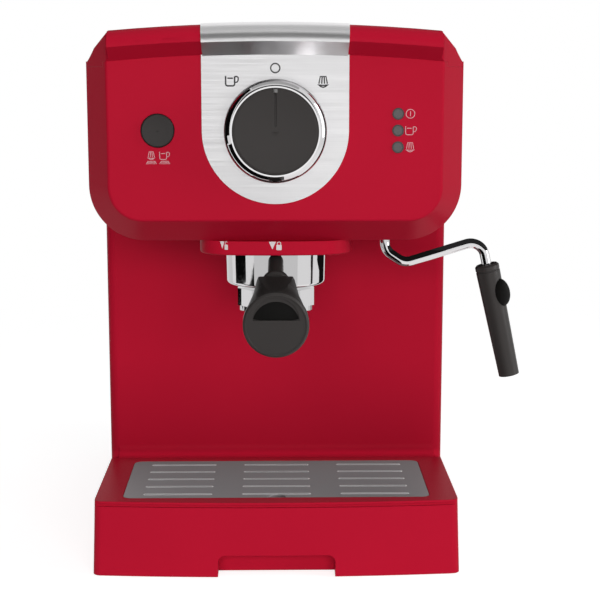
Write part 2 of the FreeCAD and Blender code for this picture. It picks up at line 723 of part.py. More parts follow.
def make_housing():
    housing = body("housing")
    column = rectangle(sketch(housing, "XY_Plane", column_foot), -half, half, s.column_front, s.column_back)
    block = pad(housing, column, s.wall_top - column_foot)
    fillet(
        housing, block, s.column_corner,
        lambda edge: upright(edge) and close_to(edge.BoundBox.YMin, s.column_front),
    )
    head_start = s.column_front + s.column_corner
    head = head_outline(sketch(housing, "XZ_Plane", -head_start), 0, s.wall_top)
    pad(housing, head, head_start - s.head_back)
    foot = outline(sketch(housing, "YZ_Plane"), [
        (foot_edge, column_foot), (s.column_front + s.wall, column_foot),
        (s.column_front + s.wall, s.tray_top + s.cove), (s.column_front, s.tray_top + s.cove, s.cove, False),
        (foot_edge, s.tray_top),
    ])
    pad(housing, foot, s.body_width - 2 * s.column_corner, both_ways=True)
    inside = rectangle(
        sketch(housing, "XY_Plane", s.wall_top),
        -half + s.wall, half - s.wall, s.column_front + s.wall, s.column_back - s.wall,
    )
    pocket(housing, inside, s.wall_top - column_foot)
    head_inside = head_outline(sketch(housing, "XZ_Plane", -s.head_back), s.wall, s.wall_top)
    pocket(housing, head_inside, s.column_front + s.wall - s.head_back)
    hose_gap = rectangle(
        sketch(housing, "XZ_Plane", -s.column_back),
        -half + 2 * s.wall, half - 2 * s.wall, column_foot, s.pedestal_top - s.wall,
    )
    pocket(housing, hose_gap, s.wall, reverse=True)
    openings = sketch(housing, "XY_Plane", s.head_bottom)
    circle(openings, 0, s.group_depth, s.group_radius + s.running_gap)
    circle(openings, s.wand_place, s.wand_depth, s.tube_radius + s.seat_gap)
    pocket(housing, openings, s.wall, reverse=True)
    bosses = sketch(housing, "XY_Plane", column_foot)
    for x, y in screw_places:
        circle(bosses, x, y, s.boss_radius)
    pad(housing, bosses, s.screw_length)
    webs = sketch(housing, "XY_Plane", column_foot)
    for x, y in screw_places:
        side = half - s.wall / 2
        far = -side if x.value < 0 else side
        low, high = (far, x) if x.value < 0 else (x, far)
        rectangle(webs, low, high, y - s.wall / 2, y + s.wall / 2)
    pad(housing, webs, s.screw_length)
    holes = sketch(housing, "XY_Plane", column_foot)
    for x, y in screw_places:
        circle(holes, x, y, s.screw_radius + s.running_gap)
    pocket(housing, holes, s.screw_length - s.wall / 2, reverse=True)


def head_outline(drawn, inset, top):
    """The head's outline from the front: straight sides and rounded lower corners, inset by a wall."""
    side = half - inset
    low = s.head_bottom + inset
    corner = s.head_corner - inset
    return outline(drawn, [
        (-side, top), (-side, low + corner, corner, True), (-side + corner, low),
        (side - corner, low, corner, True), (side, low + corner), (side, top),
    ])


# Head: fascia, top cover, plates


def make_fascia():
    fascia = body("fascia")
    top_side = s.face_top - arch_sag
    corner_low = s.head_bottom + s.head_corner
    front = outline(sketch(fascia, "XZ_Plane", -s.head_back), [
        (-half, top_side), (-half, corner_low, s.head_corner, True), (-half + s.head_corner, s.head_bottom),
        (half - s.head_corner, s.head_bottom, s.head_corner, True), (half, corner_low),
        (half, top_side, s.arch_radius, True),
    ])
    block = pad(fascia, front, s.head_back - s.face)
    rim = edges_of(block, lambda edge: close_to(edge.BoundBox.YMax, s.face)
                   and edge.BoundBox.ZMin < top_side.value - 1)
    bevel = fascia.newObject("PartDesign::Chamfer", "fascia_bevel")
    bevel.Base = (block, rim)
    bevel.ChamferType = "Two distances"
    bind(bevel, "Size", s.bevel_in)
    bind(bevel, "Size2", s.bevel_deep)
    doc.recompute()
    face_kept = close_to(bevel.Shape.BoundBox.YMin, s.face)
    if not face_kept or abs(front_width(bevel) - 2 * face_half.value) > 0.1:
        bevel.FlipDirection = True
    fillet(fascia, bevel, s.face_edge, lambda edge: close_to(edge.BoundBox.YMax, s.face)
                    and edge.BoundBox.ZMin < top_side.value - 1)
    behind = rectangle(
        sketch(fascia, "YZ_Plane"), face_inner, s.head_back + 1, s.wall_top, s.brow_top,
    )
    pocket(fascia, behind, THROUGH, both_ways=True)
    rear_space = head_outline(sketch(fascia, "XZ_Plane", -s.head_back), s.wall, s.wall_top)
    pocket(fascia, rear_space, s.head_back - bevel_rear - s.wall, reverse=True)
    front_space = head_outline(sketch(fascia, "XZ_Plane", -s.head_back), s.wall + s.bevel_in, s.wall_top)
    pocket(fascia, front_space, s.head_back - face_inner, reverse=True)
    recess = plate_outline(sketch(fascia, "XZ_Plane", -s.face), s.running_gap, s.face_top)
    pocket(fascia, recess, s.plate_recess)
    holes = sketch(fascia, "XZ_Plane", -s.face)
    circle(holes, 0, dial_height, s.shaft_radius + s.running_gap)
    circle(holes, s.button_place, dial_height, s.button_radius + s.seat_gap)
    for step in (-1, 0, 1):
        circle(holes, s.light_place, dial_height + step * s.light_pitch, s.light_radius + s.running_gap)
    pocket(fascia, holes, s.face_wall)
    group_notch = circle(
        sketch(fascia, "XY_Plane", s.head_bottom), 0, s.group_depth, s.group_radius + s.running_gap,
    )
    pocket(fascia, group_notch, s.wall + s.bevel_in, reverse=True)


def front_width(made):
    """The width of the face that lies furthest to the front."""
    faces = [f for f in made.Shape.Faces if f.BoundBox.YLength < 0.01 and close_to(f.BoundBox.YMin, s.face)]
    return max(f.BoundBox.XLength for f in faces)


def plate_outline(drawn, margin, top):
    """A plate with a half-round lower end about the dial's centre."""
    reach = s.plate_width / 2 + margin
    return outline(drawn, [
        (-reach, top), (-reach, dial_height, reach, True), (0, dial_height - reach, reach, True),
        (reach, dial_height), (reach, top),
    ])


def hollow_centre():
    """The centre of the arc that hollows the brow's back, behind and above it."""
    run = s.brow_rear - s.crest_rear
    drop = s.brow_top - s.shelf_top
    chord = root(run * run + drop * drop)
    reach = root(s.brow_hollow * s.brow_hollow - chord * chord / 4)
    middle_y = (s.brow_rear + s.crest_rear) / 2
    middle_z = (s.brow_top + s.shelf_top) / 2
    return middle_y + reach * drop / chord, middle_z + reach * run / chord


def brow_points(thick, rear):
    """The brow's section from its root over the nose and the crest back to a depth, moved out by thick."""
    slope = root(s.nose_reach * s.nose_reach + s.nose_rise * s.nose_rise)
    forward = thick * s.nose_rise / slope
    down = thick * s.nose_reach / slope
    centre_y, centre_z = hollow_centre()
    hollow = s.brow_hollow - thick
    crest = s.brow_top + thick
    crest_y = centre_y - root(hollow * hollow - (centre_z - crest) * (centre_z - crest))
    rear_z = centre_z - root(hollow * hollow - (rear - centre_y) * (rear - centre_y))
    return [
        (s.face - forward, s.face_top - down),
        (s.face - s.nose_reach - forward, s.face_top + s.nose_rise - down, s.nose_radius + thick, False),
        (s.crest_front, crest),
        (crest_y, crest, hollow, True),
        (rear, rear_z),
    ]


def arched(owner, points, angle):
    """Turn a section about the arch's axis, which lies far below and runs front to back."""
    centre = s.face_top - s.arch_radius
    drawn = sketch(owner, "YZ_Plane")
    bind(drawn, "AttachmentOffset.Base.y", centre)
    outline(drawn, [(p[0], p[1] - centre) + tuple(p[2:]) for p in points])
    made = owner.newObject("PartDesign::Revolution", owner.Name + "_arch")
    made.Profile = drawn
    made.ReferenceAxis = (drawn, ["H_Axis"])
    made.Midplane = True
    bind(made, "Angle", angle)
    return made


def make_top_cover():
    cover = body("top_cover")
    deep = s.wall_top - 8
    section = brow_points(as_size(0), s.brow_rear) + [
        (s.brow_rear + 2, s.shelf_top), (s.brow_rear + 2, deep), (face_inner + s.seat_gap, deep),
        (face_inner + s.seat_gap, s.face_top),
    ]
    span = 2.1 * half / s.arch_radius * (180 / math.pi)
    arched(cover, section, span)
    under = rectangle(
        sketch(cover, "YZ_Plane"), s.face + 1, s.brow_rear + 10, deep - 20, s.wall_top,
    )
    pocket(cover, under, THROUGH, both_ways=True)
    shelf = rectangle(
        sketch(cover, "XY_Plane", s.wall_top), -half, half, bevel_rear, s.column_back,
    )
    pad(cover, shelf, s.shelf_top - s.wall_top)
    trim = sketch(cover, "XY_Plane", s.wall_top)
    for sign in (-1, 1):
        outline(trim, [
            (sign * s.brow_end, s.face - 30), (sign * s.brow_end, s.face - 2), (sign * face_half, s.face),
            (sign * half, bevel_rear), (sign * half, s.column_back), (sign * (half + 30), s.column_back),
            (sign * (half + 30), s.face - 30),
        ])
    pocket(cover, trim, THROUGH, both_ways=True)
    slopes = sketch(cover, "XZ_Plane", -s.brow_rear)
    above = s.flank_low + 2 * s.flank_rise
    for sign in (-1, 1):
        outline(slopes, [
            (sign * half, s.flank_low), (sign * (half - 2 * s.bevel_in), above), (sign * (half + 30), above),
            (sign * (half + 30), s.flank_low),
        ])
    pocket(cover, slopes, THROUGH, both_ways=True)
    locating = sketch(cover, "XY_Plane", s.wall_top)
    edge = s.wall + s.seat_gap
    rectangle(locating, -half + edge, half - edge, s.head_back + 5, s.column_back - edge)
    rectangle(
        locating, -half + edge + s.wall, half - edge - s.wall,
        s.head_back + 5 + s.wall, s.column_back - edge - s.wall,
    )
    pad(cover, locating, 4, reverse=True)


def make_plates():
    plate = body("control_plate")
    shield = plate_outline(
        sketch(plate, "XZ_Plane", -(s.face + s.plate_recess)), 0, s.face_top - s.plate_top_gap,
    )
    pad(plate, shield, s.plate_thick)
    hole = circle(
        sketch(plate, "XZ_Plane", -plate_front), 0, dial_height, s.shaft_radius + s.running_gap,
    )
    pocket(plate, hole, s.plate_thick)
    trim = body("brow_plate")
    outer = brow_points(s.trim_bond + s.trim_thick, s.trim_rear)
    inner = brow_points(s.trim_bond, s.trim_rear)
    section = outer + [
        (inner[4][0], inner[4][1], s.brow_hollow - s.trim_bond, False),
        inner[3][:2],
        (inner[2][0], inner[2][1], s.nose_radius + s.trim_bond, True),
        inner[1][:2],
        inner[0][:2],
    ]
    arched(trim, section, s.trim_width / s.arch_radius * (180 / math.pi))
    warmer = body("cup_plate")
    sheet_sketch = rounded(
        sketch(warmer, "XY_Plane", s.shelf_top),
        -s.warmer_width / 2, s.warmer_width / 2, s.warmer_front, s.warmer_rear, s.grill_corner,
    )
    pad(warmer, sheet_sketch, s.warmer_thick)
    beads = sketch(warmer, "XY_Plane", s.shelf_top + s.warmer_thick)
    for step in (-2, -1, 0, 1, 2):
        middle = step * s.bead_pitch
        rounded(
            beads, middle - s.bead_width / 2, middle + s.bead_width / 2,
            s.warmer_front + s.bead_pitch / 2, s.warmer_rear - s.bead_pitch / 2, s.bead_width / 2 - 0.05,
        )
    pad(warmer, beads, s.bead_height)


# Controls: dial, button, lights, switches and board


def dome(reach, rise):
    """Radius of the arc that runs level through the axis and rises by so much at its edge."""
    return (reach * reach + rise * rise) / (2 * rise)


def make_dial():
    base = s.face - plate_front + s.seat_gap
    ring = body("dial_ring", 0, s.face, dial_height, ALONG_FRONT)
    front = s.dial_depth
    inner = s.knob_radius + s.running_gap
    turned(ring, outline(sketch(ring, "XZ_Plane"), [
        (inner, base), (s.ring_radius, base),
        (s.ring_radius, front - s.ring_radius + s.ring_crest, s.ring_round, True),
        (s.ring_crest, front), (inner, front),
    ]))
    knob = body("dial_knob", 0, s.face, dial_height, ALONG_FRONT)
    shaft_hole = s.shaft_radius + s.running_gap
    hub = base + s.hub_depth
    turned(knob, outline(sketch(knob, "XZ_Plane"), [
        (shaft_hole, base), (s.knob_radius, base), (s.knob_radius, front - 0.5),
        (s.knob_radius - 1.5, front - 0.2, dome(s.knob_radius - 1.5, s.knob_dish - 0.2), False),
        (0, front - s.knob_dish), (0, hub), (shaft_hole, hub),
    ]))
    groove = rectangle(
        sketch(knob, "XY_Plane", front),
        -s.pointer_width / 2, s.pointer_width / 2, s.knob_radius * 0.12, s.knob_radius + 1,
    )
    pocket(knob, groove, s.knob_dish + 0.8)
    keep(
        cylinder("dial_shaft", 0, s.face + s.shaft_reach, dial_height, s.shaft_radius,
                 s.shaft_reach + hub - s.running_gap, ALONG_FRONT),
        "dial_shaft",
    )


def make_selector_switch():
    reach = s.switch_width / 2
    case = box(
        "selector_case", -reach, reach, face_inner, s.board_front, dial_height - reach, dial_height + reach,
    )
    bore = cylinder(
        "selector_bore", 0, s.board_front, dial_height, s.shaft_radius + s.running_gap,
        s.board_front - face_inner, ALONG_FRONT,
    )
    keep(cut("selector_switch", case, bore), "selector_switch")


def make_button():
    button = body("brew_button", s.button_place, s.face, dial_height, ALONG_FRONT)
    flange_front = -s.face_wall - s.seat_gap
    flange_rear = flange_front - s.flange_thick
    stem_end = flange_rear - s.shaft_radius * 2
    turned(button, outline(sketch(button, "XZ_Plane"), [
        (0, stem_end), (s.shaft_radius, stem_end), (s.shaft_radius, flange_rear),
        (s.button_flange, flange_rear), (s.button_flange, flange_front), (s.button_radius, flange_front),
        (s.button_radius, s.button_proud - 0.6),
        (s.button_radius - 0.6, s.button_proud, dome(s.button_radius - 0.6, s.button_dish), False),
        (0, s.button_proud - s.button_dish),
    ]))
    switch_front = s.face - stem_end + s.button_travel + s.seat_gap
    keep(
        box("button_switch", s.button_place - 6, s.button_place + 6, switch_front, s.board_front,
            dial_height - 6, dial_height + 6),
        "button_switch",
    )


def make_lights():
    group("indicator_lights", [
        cylinder(f"light_{step + 1}", s.light_place, s.board_front, dial_height + step * s.light_pitch,
                 s.light_radius, s.board_front - s.face + s.light_proud, ALONG_FRONT)
        for step in (-1, 0, 1)
    ])


def make_control_board():
    middle = s.board_height / 2
    keep(
        box("control_board", -s.board_width / 2, s.board_width / 2, s.board_front,
            s.board_front + s.board_thick, dial_height - middle, dial_height + middle),
        "control_board",
    )


# Brew group: collar, bayonet ring, gasket, screen, thermoblock


def make_collar():
    collar = body("brew_collar", 0, s.group_depth, 0)
    back = s.column_front - s.seat_gap - s.group_depth
    shape = bowed_plan(
        sketch(collar, "XY_Plane", collar_bottom), s.collar_half, -s.collar_reach, back,
        s.collar_bow, s.collar_corner,
    )
    block = pad(collar, shape, s.collar_height)
    fillet(collar, block, s.collar_edge,
           lambda edge: close_to(edge.BoundBox.ZMax, collar_bottom) and edge.BoundBox.YMin < back.value - 1)
    hole = circle(sketch(collar, "XY_Plane", collar_bottom), 0, 0, s.group_radius + s.running_gap)
    pocket(collar, hole, s.collar_height, reverse=True)


def make_group_ring():
    ring = body("group_ring", 0, s.group_depth, 0)
    entry = s.cup_radius + 2 * s.seat_gap
    groove = s.ear_radius + 2 * s.seat_gap
    channel_top = groove_top + s.gasket_thick
    turned(ring, outline(sketch(ring, "XZ_Plane"), [
        (entry, ledge_bottom), (s.group_radius, ledge_bottom), (s.group_radius, s.group_top),
        (0, s.group_top), (0, screen_bottom + s.screen_thick),
        (s.gasket_inner, screen_bottom + s.screen_thick),
        (s.gasket_inner, channel_top), (s.gasket_outer + s.running_gap, channel_top),
        (s.gasket_outer + s.running_gap, groove_top), (groove, groove_top),
        (groove, ear_bottom - s.seat_gap), (entry, ear_bottom - s.seat_gap),
    ]))
    lugs = sketch(ring, "XY_Plane", head_floor)
    inside = s.group_radius - 1
    for sign in (-1, 1):
        rectangle(lugs, *sorted_pair(sign * inside, sign * s.lug_reach), -s.lug_width / 2, s.lug_width / 2)
    pad(ring, lugs, s.lug_thick)
    slot = sketch(ring, "XY_Plane", ledge_bottom)
    unlocked = FreeCAD.Rotation(Vector(0, 0, 1), -s.lock_angle.value)
    slot.AttachmentOffset = FreeCAD.Placement(Vector(), unlocked)
    bind(slot, "AttachmentOffset.Base.z", ledge_bottom)
    bind(slot, "AttachmentOffset.Rotation.Angle", -s.lock_angle)
    width = s.ear_width / 2 + 1
    rectangle(slot, -groove, groove, -width, width)
    pocket(ring, slot, s.ledge_thick, reverse=True)


def make_group_seals():
    gasket = body("group_gasket", 0, s.group_depth, 0)
    turned(gasket, rectangle(
        sketch(gasket, "XZ_Plane"), s.gasket_inner + s.running_gap, s.gasket_outer,
        groove_top, groove_top + s.gasket_thick,
    ))
    screen = body("shower_screen", 0, s.group_depth, 0)
    disc = circle(sketch(screen, "XY_Plane", screen_bottom), 0, 0, s.screen_radius)
    pad(screen, disc, s.screen_thick)
    holes = sketch(screen, "XY_Plane", screen_bottom)
    circle(holes, 0, 0, s.shaft_radius / 2 + s.running_gap)
    for number in range(12):
        angle = math.radians(30 * number)
        reach = s.screen_radius * 0.7
        circle(holes, reach * math.cos(angle), reach * math.sin(angle), s.screen_hole)
    pocket(screen, holes, s.screen_thick, reverse=True)
    keep(
        cylinder("screen_screw", 0, s.group_depth, screen_bottom - 1, s.shaft_radius * 1.3, 1),
        "screen_screw",
    )


def make_thermoblock():
    block = body("thermoblock")
    shape = rounded(
        sketch(block, "XY_Plane", s.group_top),
        -s.block_width / 2, s.block_width / 2, s.block_front, s.block_rear, s.block_corner,
    )
    pad(block, shape, s.block_height)
    grooves = sketch(block, "XY_Plane", block_top)
    for step in (-3, -2, 2, 3):
        middle = step * s.fin_pitch
        rectangle(
            grooves, middle - s.fin_width / 2, middle + s.fin_width / 2, s.block_front - 5, s.block_rear + 5,
        )
    pocket(block, grooves, s.fin_depth)
    group("thermostats", [
        cylinder(f"thermostat_{number}", 0, s.group_depth + offset, block_top, s.thermostat_radius,
                 s.thermostat_height)
        for number, offset in enumerate((-s.thermostat_radius, 2 * s.thermostat_radius))
    ])


# Portafilter


def make_portafilter():
    cup = body("portafilter_cup", 0, s.group_depth, 0)
    inner_top = s.cup_radius - s.cup_wall
    inner_foot = s.cup_foot - s.cup_wall
    floor = s.cup_bottom + s.cup_wall
    turned(cup, outline(sketch(cup, "XZ_Plane"), [
        (s.tip_bore, s.spout_top), (s.outlet_radius, s.spout_top), (s.outlet_radius + 2, s.cup_bottom - 1.5),
        (s.cup_foot - s.cup_edge, s.cup_bottom, s.cup_edge, True), (s.cup_foot, s.cup_bottom + s.cup_edge),
        (s.cup_radius, s.cup_top), (inner_top, s.cup_top), (inner_foot, floor), (s.tip_bore, floor - 1),
    ]))
    ears = sketch(cup, "XY_Plane", ear_bottom)
    width = s.ear_width / 2
    for sign in (-1, 1):
        reach = sorted_pair(sign * (s.cup_radius - s.cup_wall / 2), sign * s.ear_radius)
        rectangle(ears, *reach, -width, width)
    pad(cup, ears, s.ear_thick)
    ears_end = circle(sketch(cup, "XY_Plane", ear_bottom), 0, 0, s.ear_radius + 20)
    circle(ears_end, 0, 0, s.ear_radius)
    pocket(cup, ears_end, s.ear_thick, reverse=True)
    bolt_hole = cup.newObject("PartDesign::SubtractiveCylinder", "stud_hole")
    bolt_hole.Placement = FreeCAD.Placement(
        Vector(0, 0, 0), FreeCAD.Rotation(Vector(1, 0, 0), 90 + s.handle_tilt.value),
    )
    bind(bolt_hole, "Placement.Rotation.Angle", 90 + s.handle_tilt)
    bind(bolt_hole, "Radius", s.stud_radius + s.running_gap)
    bind(bolt_hole, "Height", s.cup_wall * 4)
    start = s.cup_radius - s.cup_wall * 2
    bind(bolt_hole, "Placement.Base.y", -start)
    fall = sine(s.handle_tilt) / cosine(s.handle_tilt)
    bind(bolt_hole, "Placement.Base.z", s.handle_height + s.cup_wall * 2 * fall)


def sorted_pair(first, second):
    return (first, second) if first.value < second.value else (second, first)


def make_basket():
    basket = body("filter_basket", 0, s.group_depth, 0)
    outer = s.cup_radius - s.cup_wall - s.seat_gap
    thick = s.basket_wall
    foot = outer - s.basket_taper
    floor = s.cup_top - s.basket_depth
    turned(basket, outline(sketch(basket, "XZ_Plane"), [
        (0, floor), (foot, floor), (outer, s.cup_top), (s.cup_radius - 0.6, s.cup_top),
        (s.cup_radius - 0.6, s.cup_top + thick), (outer - thick, s.cup_top + thick),
        (foot - thick, floor + thick), (0, floor + thick),
    ]))
    holes = sketch(basket, "XY_Plane", floor)
    for reach, count in ((0.3, 6), (0.62, 12)):
        for number in range(count):
            angle = 2 * math.pi * number / count
            circle(holes, foot * (reach * math.cos(angle)), foot * (reach * math.sin(angle)), s.basket_hole)
    pocket(basket, holes, thick, reverse=True)


def make_spout():
    spout = body("double_spout", 0, s.group_depth, 0)
    wide = s.spout_width / 2
    deep = s.spout_depth / 2
    front = [
        (wide - s.spout_facet, deep), (wide - s.spout_end, s.tip_radius), (wide, s.tip_radius - s.spout_end),
    ]
    right = front + [(x, -y) for x, y in reversed(front)]
    shape = outline(sketch(spout, "XY_Plane", s.spout_bottom), right + [(-x, -y) for x, y in right])
    pad(spout, shape, s.spout_top - s.spout_bottom)
    tips = sketch(spout, "XY_Plane", s.spout_bottom)
    bores = sketch(spout, "XY_Plane", s.spout_tip)
    for sign in (-1, 1):
        circle(tips, sign * s.tip_place, 0, s.tip_radius)
        circle(bores, sign * s.tip_place, 0, s.tip_bore)
    pad(spout, tips, s.spout_bottom - s.spout_tip, reverse=True)
    pocket(spout, bores, s.spout_bottom + s.tip_bore * 2 - s.spout_tip, reverse=True)
    inlet = circle(sketch(spout, "XY_Plane", s.spout_top), 0, 0, s.tip_bore)
    pocket(spout, inlet, s.spout_top - s.spout_bottom - s.tip_bore)
    channel = rectangle(
        sketch(spout, "YZ_Plane"), -s.tip_bore, s.tip_bore,
        s.spout_bottom + s.tip_bore, s.spout_bottom + 2 * s.tip_bore,
    )
    pocket(spout, channel, 2 * s.tip_place, both_ways=True)


def handle_body(name, along=as_size(0), tilt=s.handle_tilt):
    """A body whose own Z axis runs out along the handle, from a place along it."""
    out = s.group_depth - s.cup_radius - along * cosine(s.handle_tilt)
    made = body(name, 0, out, s.handle_height - along * sine(s.handle_tilt),
                FreeCAD.Rotation(Vector(1, 0, 0), 90 + tilt.value))
    bind(made, "Placement.Rotation.Angle", 90 + tilt)
    return made


def make_handle():
    ferrule_start = s.neck_length
    grip_low = ferrule_start + s.ferrule_length
    cap_start = s.handle_length - s.cap_thick
    middle = (grip_low + cap_start) / 2
    hole = s.stud_radius + s.running_gap
    clear = 1.2
    neck = handle_body("handle_neck")
    turned(neck, outline(sketch(neck, "XZ_Plane"), [
        (hole, clear), (s.neck_radius, clear), (s.neck_end, ferrule_start), (hole, ferrule_start),
    ]))
    ferrule = handle_body("handle_ferrule")
    turned(ferrule, outline(sketch(ferrule, "XZ_Plane"), [
        (hole, ferrule_start), (s.ferrule_radius - 1, ferrule_start), (s.ferrule_radius, ferrule_start + 1),
        (s.ferrule_radius, grip_low - 1), (s.ferrule_radius - 1, grip_low), (hole, grip_low),
    ]))
    grip = handle_body("handle_grip")
    stud_end = grip_low + s.ferrule_length * 4
    turned(grip, outline(sketch(grip, "XZ_Plane"), [
        (hole, grip_low), (s.grip_start - 1, grip_low), (s.grip_start, grip_low + 1),
        (s.grip_middle, middle, s.grip_curve, True), (s.grip_end - 0.6, cap_start),
        (s.grip_end - 0.6, s.handle_length), (0, s.handle_length), (0, stud_end), (hole, stud_end),
    ]))
    lean = s.handle_tilt - s.cap_tilt
    slant = 2 * s.grip_end * sine(lean) / cosine(lean)
    beyond = s.handle_length + s.grip_end
    trim = outline(sketch(grip, "YZ_Plane"), [
        (-2 * s.grip_end, cap_start + slant), (2 * s.grip_end, cap_start - slant),
        (2 * s.grip_end, beyond), (-2 * s.grip_end, beyond),
    ])
    pocket(grip, trim, THROUGH, both_ways=True)
    flat = outline(sketch(grip, "YZ_Plane"), [
        (s.flat_height, grip_low), (2 * s.grip_end, grip_low), (2 * s.grip_end, cap_start),
        (s.grip_end, cap_start),
    ])
    pocket(grip, flat, THROUGH, both_ways=True)
    cap = handle_body("handle_cap", cap_start, s.cap_tilt)
    turned(cap, outline(sketch(cap, "XZ_Plane"), [
        (0, 0), (s.grip_end, 0), (s.grip_end, s.cap_thick - 1), (s.grip_end - 1, s.cap_thick),
        (s.grip_end - s.cap_rim, s.cap_thick), (s.grip_end - s.cap_rim, s.cap_thick - s.cap_step),
        (0, s.cap_thick - s.cap_step),
    ]))
    scoop = outline(sketch(cap, "XY_Plane", s.cap_thick + 1), [
        (-s.grip_end * 0.7, s.grip_end * 0.15), (s.grip_end * 0.7, s.grip_end * 0.15, s.grip_end * 0.7, True),
        (0, s.grip_end * 0.85, s.grip_end * 0.7, True),
    ])
    pocket(cap, scoop, s.scoop_depth + 1)
    stud = handle_body("handle_stud")
    turned(stud, rectangle(
        sketch(stud, "XZ_Plane"), 0, s.stud_radius, -s.cup_wall / 2, stud_end - s.running_gap,
    ))


# Steam wand: bush in the head, bent tube, nozzle, frother sleeve


def make_wand():
    bush = body("wand_bush", s.wand_place, s.wand_depth, 0)
    turned(bush, rectangle(
        sketch(bush, "XZ_Plane"), s.tube_radius + s.running_gap, s.bush_radius,
        head_floor, head_floor + s.bush_height,
    ))
    tip_x = sleeve_place + s.tube_end * sine(s.sleeve_tilt)
    tip_z = sleeve_height - s.tube_end * cosine(s.sleeve_tilt)
    pipe("wand_tube", [
        (s.wand_place, s.wand_depth, head_floor + s.bush_height - 2),
        (s.wand_place, s.wand_depth, s.low_bend_height + 8),
        (s.low_bend_place, s.wand_depth, s.low_bend_height),
        (s.high_bend_place, s.wand_depth, s.high_bend_height),
        (tip_x, s.wand_depth, tip_z),
    ], s.tube_radius, s.tube_bend)
    nozzle = sleeve_body("steam_nozzle")
    end = s.tube_end + s.nozzle_length
    turned(nozzle, outline(sketch(nozzle, "XZ_Plane"), [
        (0, s.tube_end), (s.nozzle_radius, s.tube_end), (s.nozzle_radius, end - 3), (1.5, end), (0, end),
    ]))
    sleeve = sleeve_body("frother_sleeve")
    guide = s.tube_radius + s.seat_gap
    bore = guide + s.sleeve_clearance
    turned(sleeve, outline(sketch(sleeve, "XZ_Plane"), [
        (guide, 0), (s.sleeve_top - 1, 0), (s.sleeve_top, 1), (s.sleeve_top, 3.4), (s.sleeve_top - 0.3, 3.7),
        (s.sleeve_top - 0.3, 4.1), (s.sleeve_top, 4.4), (s.sleeve_foot, s.sleeve_length),
        (s.sleeve_foot - s.sleeve_wall, s.sleeve_length), (bore, s.sleeve_length - 8), (bore, 10),
        (guide, 10),
    ]))
    lobe = sleeve.newObject("PartDesign::AdditiveEllipsoid", "thumb_lobe")
    lobe.Placement = FreeCAD.Placement(Vector(), FreeCAD.Rotation(Vector(0, 0, 1), -s.lobe_turn.value))
    bind(lobe, "Radius1", s.lobe_length / 2)
    bind(lobe, "Radius2", s.lobe_width / 2)
    bind(lobe, "Radius3", s.lobe_thick / 2)
    bind(lobe, "Placement.Rotation.Angle", -s.lobe_turn)
    bind(lobe, "Placement.Base.x", -s.lobe_reach * sine(s.lobe_turn))
    bind(lobe, "Placement.Base.y", -s.lobe_reach * cosine(s.lobe_turn))
    bind(lobe, "Placement.Base.z", s.lobe_drop)
    channel = circle(sketch(sleeve, "XY_Plane", s.lobe_drop - s.lobe_length / 2), 0, 0, bore)
    pocket(sleeve, channel, s.lobe_length, reverse=True)


def sleeve_body(name):
    """A body whose own Z axis runs down the frother sleeve from its top, with its own X inward."""
    turn = 180 - s.sleeve_tilt
    made = body(name, sleeve_place, s.wand_depth, sleeve_height,
                FreeCAD.Rotation(Vector(0, 1, 0), turn.value))
    bind(made, "Placement.Rotation.Angle", turn)
    return made


# Drip tray and grill


def make_drip_tray():
    tray = body("drip_tray")
    lower = tray_plan(sketch(tray, "XY_Plane", s.tray_low), tray_foot_half)
    upper = tray_plan(sketch(tray, "XY_Plane", s.tray_top), tray_top_half)
    block = tray.newObject("PartDesign::AdditiveLoft", "tray_block")
    block.Profile = lower
    block.Sections = [upper]
    block.Ruled = True
    grill_half = s.grill_width / 2 + s.seat_gap
    ledge = rounded(
        sketch(tray, "XY_Plane", s.tray_top), -grill_half, grill_half,
        s.grill_front - s.seat_gap, s.grill_rear + s.seat_gap, s.grill_corner,
    )
    pocket(tray, ledge, s.grill_thick + s.seat_gap)
    bowl_half = s.grill_width / 2 - s.grill_ledge
    bowl = rounded(
        sketch(tray, "XY_Plane", s.tray_top), -bowl_half, bowl_half,
        s.grill_front + s.grill_ledge, s.grill_rear - s.grill_ledge, s.grill_corner,
    )
    pocket(tray, bowl, s.tray_top - tray_underside - s.tray_floor)
    tongue_half = tray_top_half - 10 + s.seat_gap
    under = rectangle(
        sketch(tray, "XY_Plane", s.tray_low), -tongue_half, tongue_half,
        s.tray_front + s.recess_depth + s.wall, tray_rear + 1,
    )
    pocket(tray, under, tray_underside - s.tray_low, reverse=True)
    reach = s.recess_width / 2
    top = s.recess_top
    recess = outline(sketch(tray, "XZ_Plane", -s.tray_front), [
        (-reach, s.tray_low - 1), (reach, s.tray_low - 1),
        (reach, top - s.recess_corner, s.recess_corner, True), (reach - s.recess_corner, top),
        (-reach + s.recess_corner, top, s.recess_corner, True), (-reach, top - s.recess_corner),
    ])
    pocket(tray, recess, s.recess_depth)
    groove_low = s.tray_top - s.lip_height - s.groove_height
    back = s.tray_front + s.tray_bow + s.groove_depth
    side = tray_foot_half
    groove = outline(sketch(tray, "XY_Plane", groove_low), [
        (-side, back, bow_radius(side), True), (side, back), (side, s.tray_front - 5),
        (-side, s.tray_front - 5),
    ])
    pocket(tray, groove, s.groove_height, reverse=True)


def bow_radius(side):
    return (side * side + s.tray_bow * s.tray_bow) / (2 * s.tray_bow)


def tray_plan(drawn, side):
    return bowed_plan(drawn, side, s.tray_front, tray_rear, bow_radius(side), s.tray_corner)


def bowed_plan(drawn, side, front, rear, bow, corner):
    """A plan from above: a bowed front that runs through rounded corners into straight sides."""
    inner = bow - corner
    middle = front + bow
    across = side - corner
    drop = root(inner * inner - across * across)
    touch_x = across * bow / inner
    touch_y = middle - drop * bow / inner
    return outline(drawn, [
        (-touch_x, touch_y, bow, True), (touch_x, touch_y, corner, True), (side, middle - drop),
        (side, rear), (-side, rear), (-side, middle - drop, corner, True),
    ])


